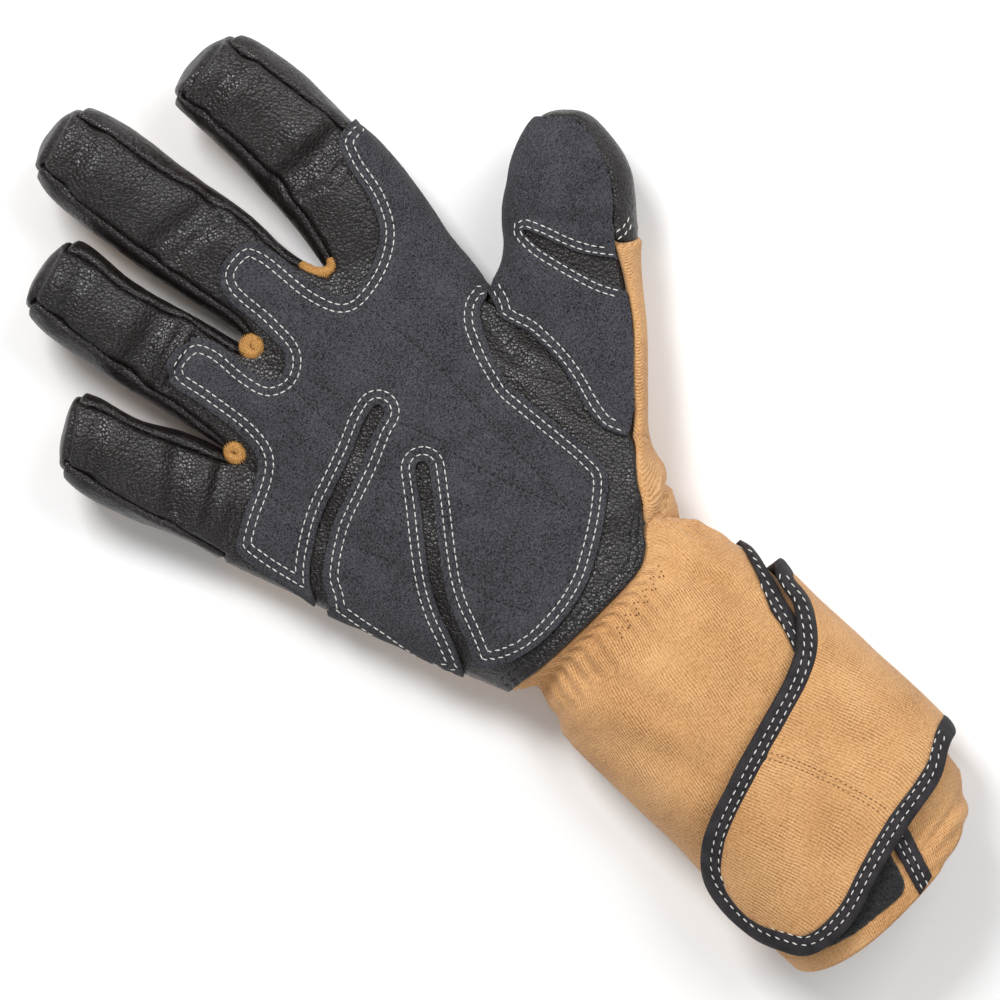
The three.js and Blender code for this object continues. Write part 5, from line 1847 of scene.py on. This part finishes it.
    def elastic_seam(self) -> None:
        """Sews the zigzag that gathers the wrist, in tan thread darkened to paint the shade of its needle
        holes.
        """
        spine = curve_through(self.elastic, 2.3)
        odd = np.arange(len(spine))[:, None] % 2 == 1
        zigzag = np.where(odd, beside(spine, self.zigzag_reach), beside(spine, -self.zigzag_reach))
        sewing = Sewing(BVHTree.FromBMesh(self.skin))
        sewing.run(resample(zigzag, 0.3), self.zigzag_stitch)
        sewing.finish(self.wardrobe, "elastic_stitching", Slot.TAN_THREAD, finish=self.wardrobe.thread_with_painted_hole_shade)

    def gusset_side(self, bm: bmesh.types.BMesh) -> list[bool]:
        """Whether each face of the tube lies in the gusset."""
        (ax, ay), (bx, by) = self.slit_top, self.slit_hem
        result = []
        for face in bm.faces:
            x, y, z = face.calc_center_median()
            beyond = (bx - ax) * (y - ay) - (by - ay) * (x - ax) > 0
            result.append(beyond and z > self.root_height and y < ay)
        return result

    def sewn_down(self, flat: Points) -> Points:
        """How much lower the flap lies towards its sewn end on the thumb side."""
        return self.sewn_drop * (1 - smooth(flat[:, 0] - self.flap_end(), 0.0, self.sewn_reach))

    def flap_end(self) -> float:
        """Flat coordinate of the flap's sewn end."""
        return float(self.form.round_to(math.radians(self.flap_angle)))

    def band(self, line: Points, widths: Points, low: float, high: float, heap: float = 0.0,
             drop: Points | None = None) -> bmesh.types.BMesh:
        """A rounded band that follows a line on the cuff.

        Args:
            line: Flat coordinates of its middle.
            widths: Its width at each point.
            low: Distance of its underside above the cuff.
            high: Distance of its top.
            heap: How much higher its right side is than its left.
            drop: How much lower it lies at each point.

        Returns:
            The band.
        """
        ahead = np.gradient(line, axis=0)
        ahead /= np.linalg.norm(ahead, axis=1, keepdims=True)
        side = np.column_stack([-ahead[:, 1], ahead[:, 0]])
        turns = np.linspace(0, 2 * math.pi, 20, endpoint=False)
        rings = []
        wave = rough(line, 7.0, 9.0)
        across = np.sign(np.cos(turns)) * np.abs(np.cos(turns)) ** 0.7
        up = np.sign(np.sin(turns)) * np.abs(np.sin(turns)) ** 0.75
        for k, (spot, lateral, width) in enumerate(zip(line, side, widths)):
            flat = spot + np.outer(across * (width / 2 + 0.12 * wave[k]), lateral)
            middle = (low + high) / 2 - (0.0 if drop is None else drop[k])
            half = (high - low) / 2
            lump = heap * np.clip(across, -0.8, 1) * (up > 0)
            rings.append(self.form.place(flat, middle + half * up + lump))
        return strip(rings)

    def slit_binding(self) -> None:
        """Builds the binding along the slit, and its stitches."""
        seen = resample(np.array([self.slit_top, self.slit_hem]), 1.2)
        line = self.form.develop(seen)
        widths = np.linspace(*self.slit_width, len(line))
        bm = self.band(line, widths, 0.1, 2.0)
        surface = BVHTree.FromBMesh(bm)
        self.wardrobe.dress("slit_binding_tape", bm, Slot.BINDING, ["slit_binding"])
        self.thread_rows(surface, seen, (-1.0, 1.0), "slit_binding")

    def thread_rows(self, surface: BVHTree, seen: Points, rows: Sequence[float], name: str) -> None:
        """Sews white rows with dark gaps along a line seen from above."""
        white = Sewing(surface)
        dark = Sewing(surface)
        for row in rows:
            moved = resample(beside(seen, row), SEWING_STEP)
            white.run(moved, self.white_stitch)
            dark.run(moved[round(self.dark_shift / SEWING_STEP):], self.dark_stitch)
        white.finish(self.wardrobe, f"{name}_stitching", Slot.WHITE_THREAD)
        dark.finish(self.wardrobe, f"{name}_dark_stitching", Slot.BLACK_THREAD)

    def loop_panel(self) -> None:
        """Builds the fuzzy loop panel under the flap."""
        outline = curve_through(self.form.spots(self.loop_edge), 1.0, closed=True)
        region = Region(self.form.develop(outline))
        bm = flat_sheet(region, 0.8)
        flat = places_of(bm)[:, :2]
        signed, _ = region.signed(flat)
        pile = 0.6 * rough(flat, 1.3, 2.0) + 0.4 * rough(flat, 0.7, 3.0)
        move_to(bm, self.form.place(flat, 0.9 + pile + 0.5 * smooth(-signed, 0, 1.5)))
        self.face_out(bm)
        piece = self.wardrobe.dress("loop_panel_pile", bm, Slot.LOOP, ["loop_panel"])
        give_wall(piece, 0.8)

    def face_out(self, bm: bmesh.types.BMesh) -> None:
        """Turns a skin so that it faces away from the cuff's middle."""
        bm.normal_update()
        away = (places_of(bm) - self.middle) * (1, 0, 1)
        normal = np.array([vert.normal[:] for vert in bm.verts])
        if (normal * away).sum() < 0:
            bmesh.ops.reverse_faces(bm, faces=bm.faces)
            bm.normal_update()

    def flap(self) -> None:
        """Builds the closing flap, its binding and their stitches."""
        seen = curve_through(self.form.spots(self.flap_edge), 1.0)
        on_top = seen[:, 0] < self.flap_seen
        line = self.form.develop(seen, self.flap_near)[on_top]
        side = self.flap_end()
        first, last = np.array([side, line[0][1]]), np.array([side, line[-1][1]])
        line = resample(np.vstack([first, line, last]), 1.0)
        edge = beside(line, 1.2 - self.binding_width / 2)
        closing = [[side - 0.01, edge[-1][1]], [side - 0.01, edge[0][1]]]
        region = Region(np.vstack([edge, closing]))
        bm = flat_sheet(region, 1.2)
        flat = places_of(bm)[:, :2]
        height = 0.14 * rough(flat, 16.0, 11.0) + 0.05 * rough(flat, 4.0, 12.0)
        seam = self.form.develop(np.array(self.flap_seam), self.flap_near)
        distance, _ = nearest_on(curve_through(seam, 1.0), flat, closed=False)
        height -= 0.3 * bell(distance, 1.0)
        move_to(bm, self.form.place(flat, self.flap_lift + height - self.sewn_down(flat)))
        self.face_out(bm)
        write_flat(bm, flat @ FLAP_WEAVE)
        # The flap seam is sewn in the darker thread that paints the shade of its needle holes
        thread_with_painted_hole_shade = Sewing(BVHTree.FromBMesh(bm))
        piece = self.wardrobe.dress("closure_flap_cloth", bm, Slot.KNIT, ["closure_flap"])
        give_wall(piece, self.flap_wall)
        for shift in self.flap_rows:
            thread_with_painted_hole_shade.run(beside(curve_through(self.flap_seam, 1.0), shift), self.hole_shade_stitch)
        thread_with_painted_hole_shade.finish(self.wardrobe, "closure_flap_stitching", Slot.TAN_THREAD, finish=self.wardrobe.thread_with_painted_hole_shade)
        widths = np.full(len(line), self.binding_width)
        bm = self.band(line, widths, 2.4, 5.3, heap=0.7, drop=self.sewn_down(line))
        surface = BVHTree.FromBMesh(bm)
        self.wardrobe.dress("flap_binding_tape", bm, Slot.BINDING, ["flap_binding"])
        self.thread_rows(surface, seen[on_top], (-0.9, 1.35), "flap_binding")


# The studio


@dataclass
class Studio:
    """Floor, lights and camera."""

    distance: float = 2.0
    aim_height: float = 0.02
    picture: float = 0.3
    sensor: float = 36.0
    sky: float = 0.34

    def build(self) -> None:
        """Builds the studio."""
        self.floor()
        self.light("key", (0.12, 0.78, 1.2), 0.42, 15.0)
        self.light("fill", (0.95, -0.1, 1.25), 0.9, 12.0)
        self.light("rim", (-0.9, -0.9, 1.2), 0.8, 4.0)
        world = bpy.data.worlds.new("studio")
        world.use_nodes = True
        sky = world.node_tree.nodes["Background"].inputs
        sky["Color"].default_value = (1.0, 1.0, 1.0, 1.0)
        sky["Strength"].default_value = self.sky
        bpy.context.scene.world = world
        bpy.context.scene.view_settings.view_transform = "Standard"
        self.camera()

    def floor(self) -> None:
        """Lays the plain pale floor."""
        bm = bmesh.new()
        bmesh.ops.create_grid(bm, x_segments=2, y_segments=2, size=3.0)
        bmesh.ops.translate(bm, vec=(0, 0, -0.0002), verts=bm.verts)
        mesh = bpy.data.meshes.new("floor")
        bm.to_mesh(mesh)
        bm.free()
        s = Shader("pale_floor", Roughness=0.9, Specular_IOR_Level=0.1)
        s.feed(Base_Color=s.blend(s.grain(40.0), (0.9, 0.9, 0.9, 1), (0.93, 0.93, 0.93, 1)))
        mesh.materials.append(s.material)
        floor = bpy.data.objects.new("floor", mesh)
        bpy.context.scene.collection.objects.link(floor)
        floor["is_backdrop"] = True

    def light(self, name: str, place: tuple, size: float, power: float) -> None:
        """Adds a soft square light that shines at the glove.

        Args:
            name: Name of the light.
            place: Its place in metres.
            size: Its side in metres.
            power: Its power in watts.
        """
        lamp = bpy.data.lights.new(name, "AREA")
        lamp.size = size
        lamp.energy = power
        holder = bpy.data.objects.new(name, lamp)
        holder.location = place
        holder.rotation_euler = (-Vector(place)).to_track_quat("-Z", "Y").to_euler()
        bpy.context.scene.collection.objects.link(holder)

    def camera(self) -> None:
        """Sets the camera straight above the glove, turned as in the photograph."""
        lens = bpy.data.cameras.new("camera")
        lens.sensor_width = self.sensor
        lens.lens = self.sensor * self.distance / self.picture
        holder = bpy.data.objects.new("camera", lens)
        turn = Matrix.Rotation(math.radians(-45), 4, "Z")
        holder.matrix_world = Matrix.Translation((0, 0, self.aim_height + self.distance)) @ turn
        bpy.context.scene.collection.objects.link(holder)
        bpy.context.scene.camera = holder


def write_sizes() -> None:
    """Works out the CAD model's box and the dressed model's box as plain numbers."""
    boxes = {"cad": CAD_BOX, "scene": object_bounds()}
    plain = {key: [[float(v) for v in corner] for corner in box] for key, box in boxes.items()}


def main() -> None:
    """Dresses the glove and lights it."""
    logging.basicConfig(level=logging.INFO, format="%(name)s %(message)s")
    Studio().build()
    wardrobe = Wardrobe()
    hand = Hand(wardrobe)
    hand.shape()
    hand.panels()
    hand.hem_stitches()
    Overlays(wardrobe, hand).build()
    Tacks(wardrobe, hand).build()
    Cuff(wardrobe).build()
    write_sizes()


if __name__ == "__main__":
    main()
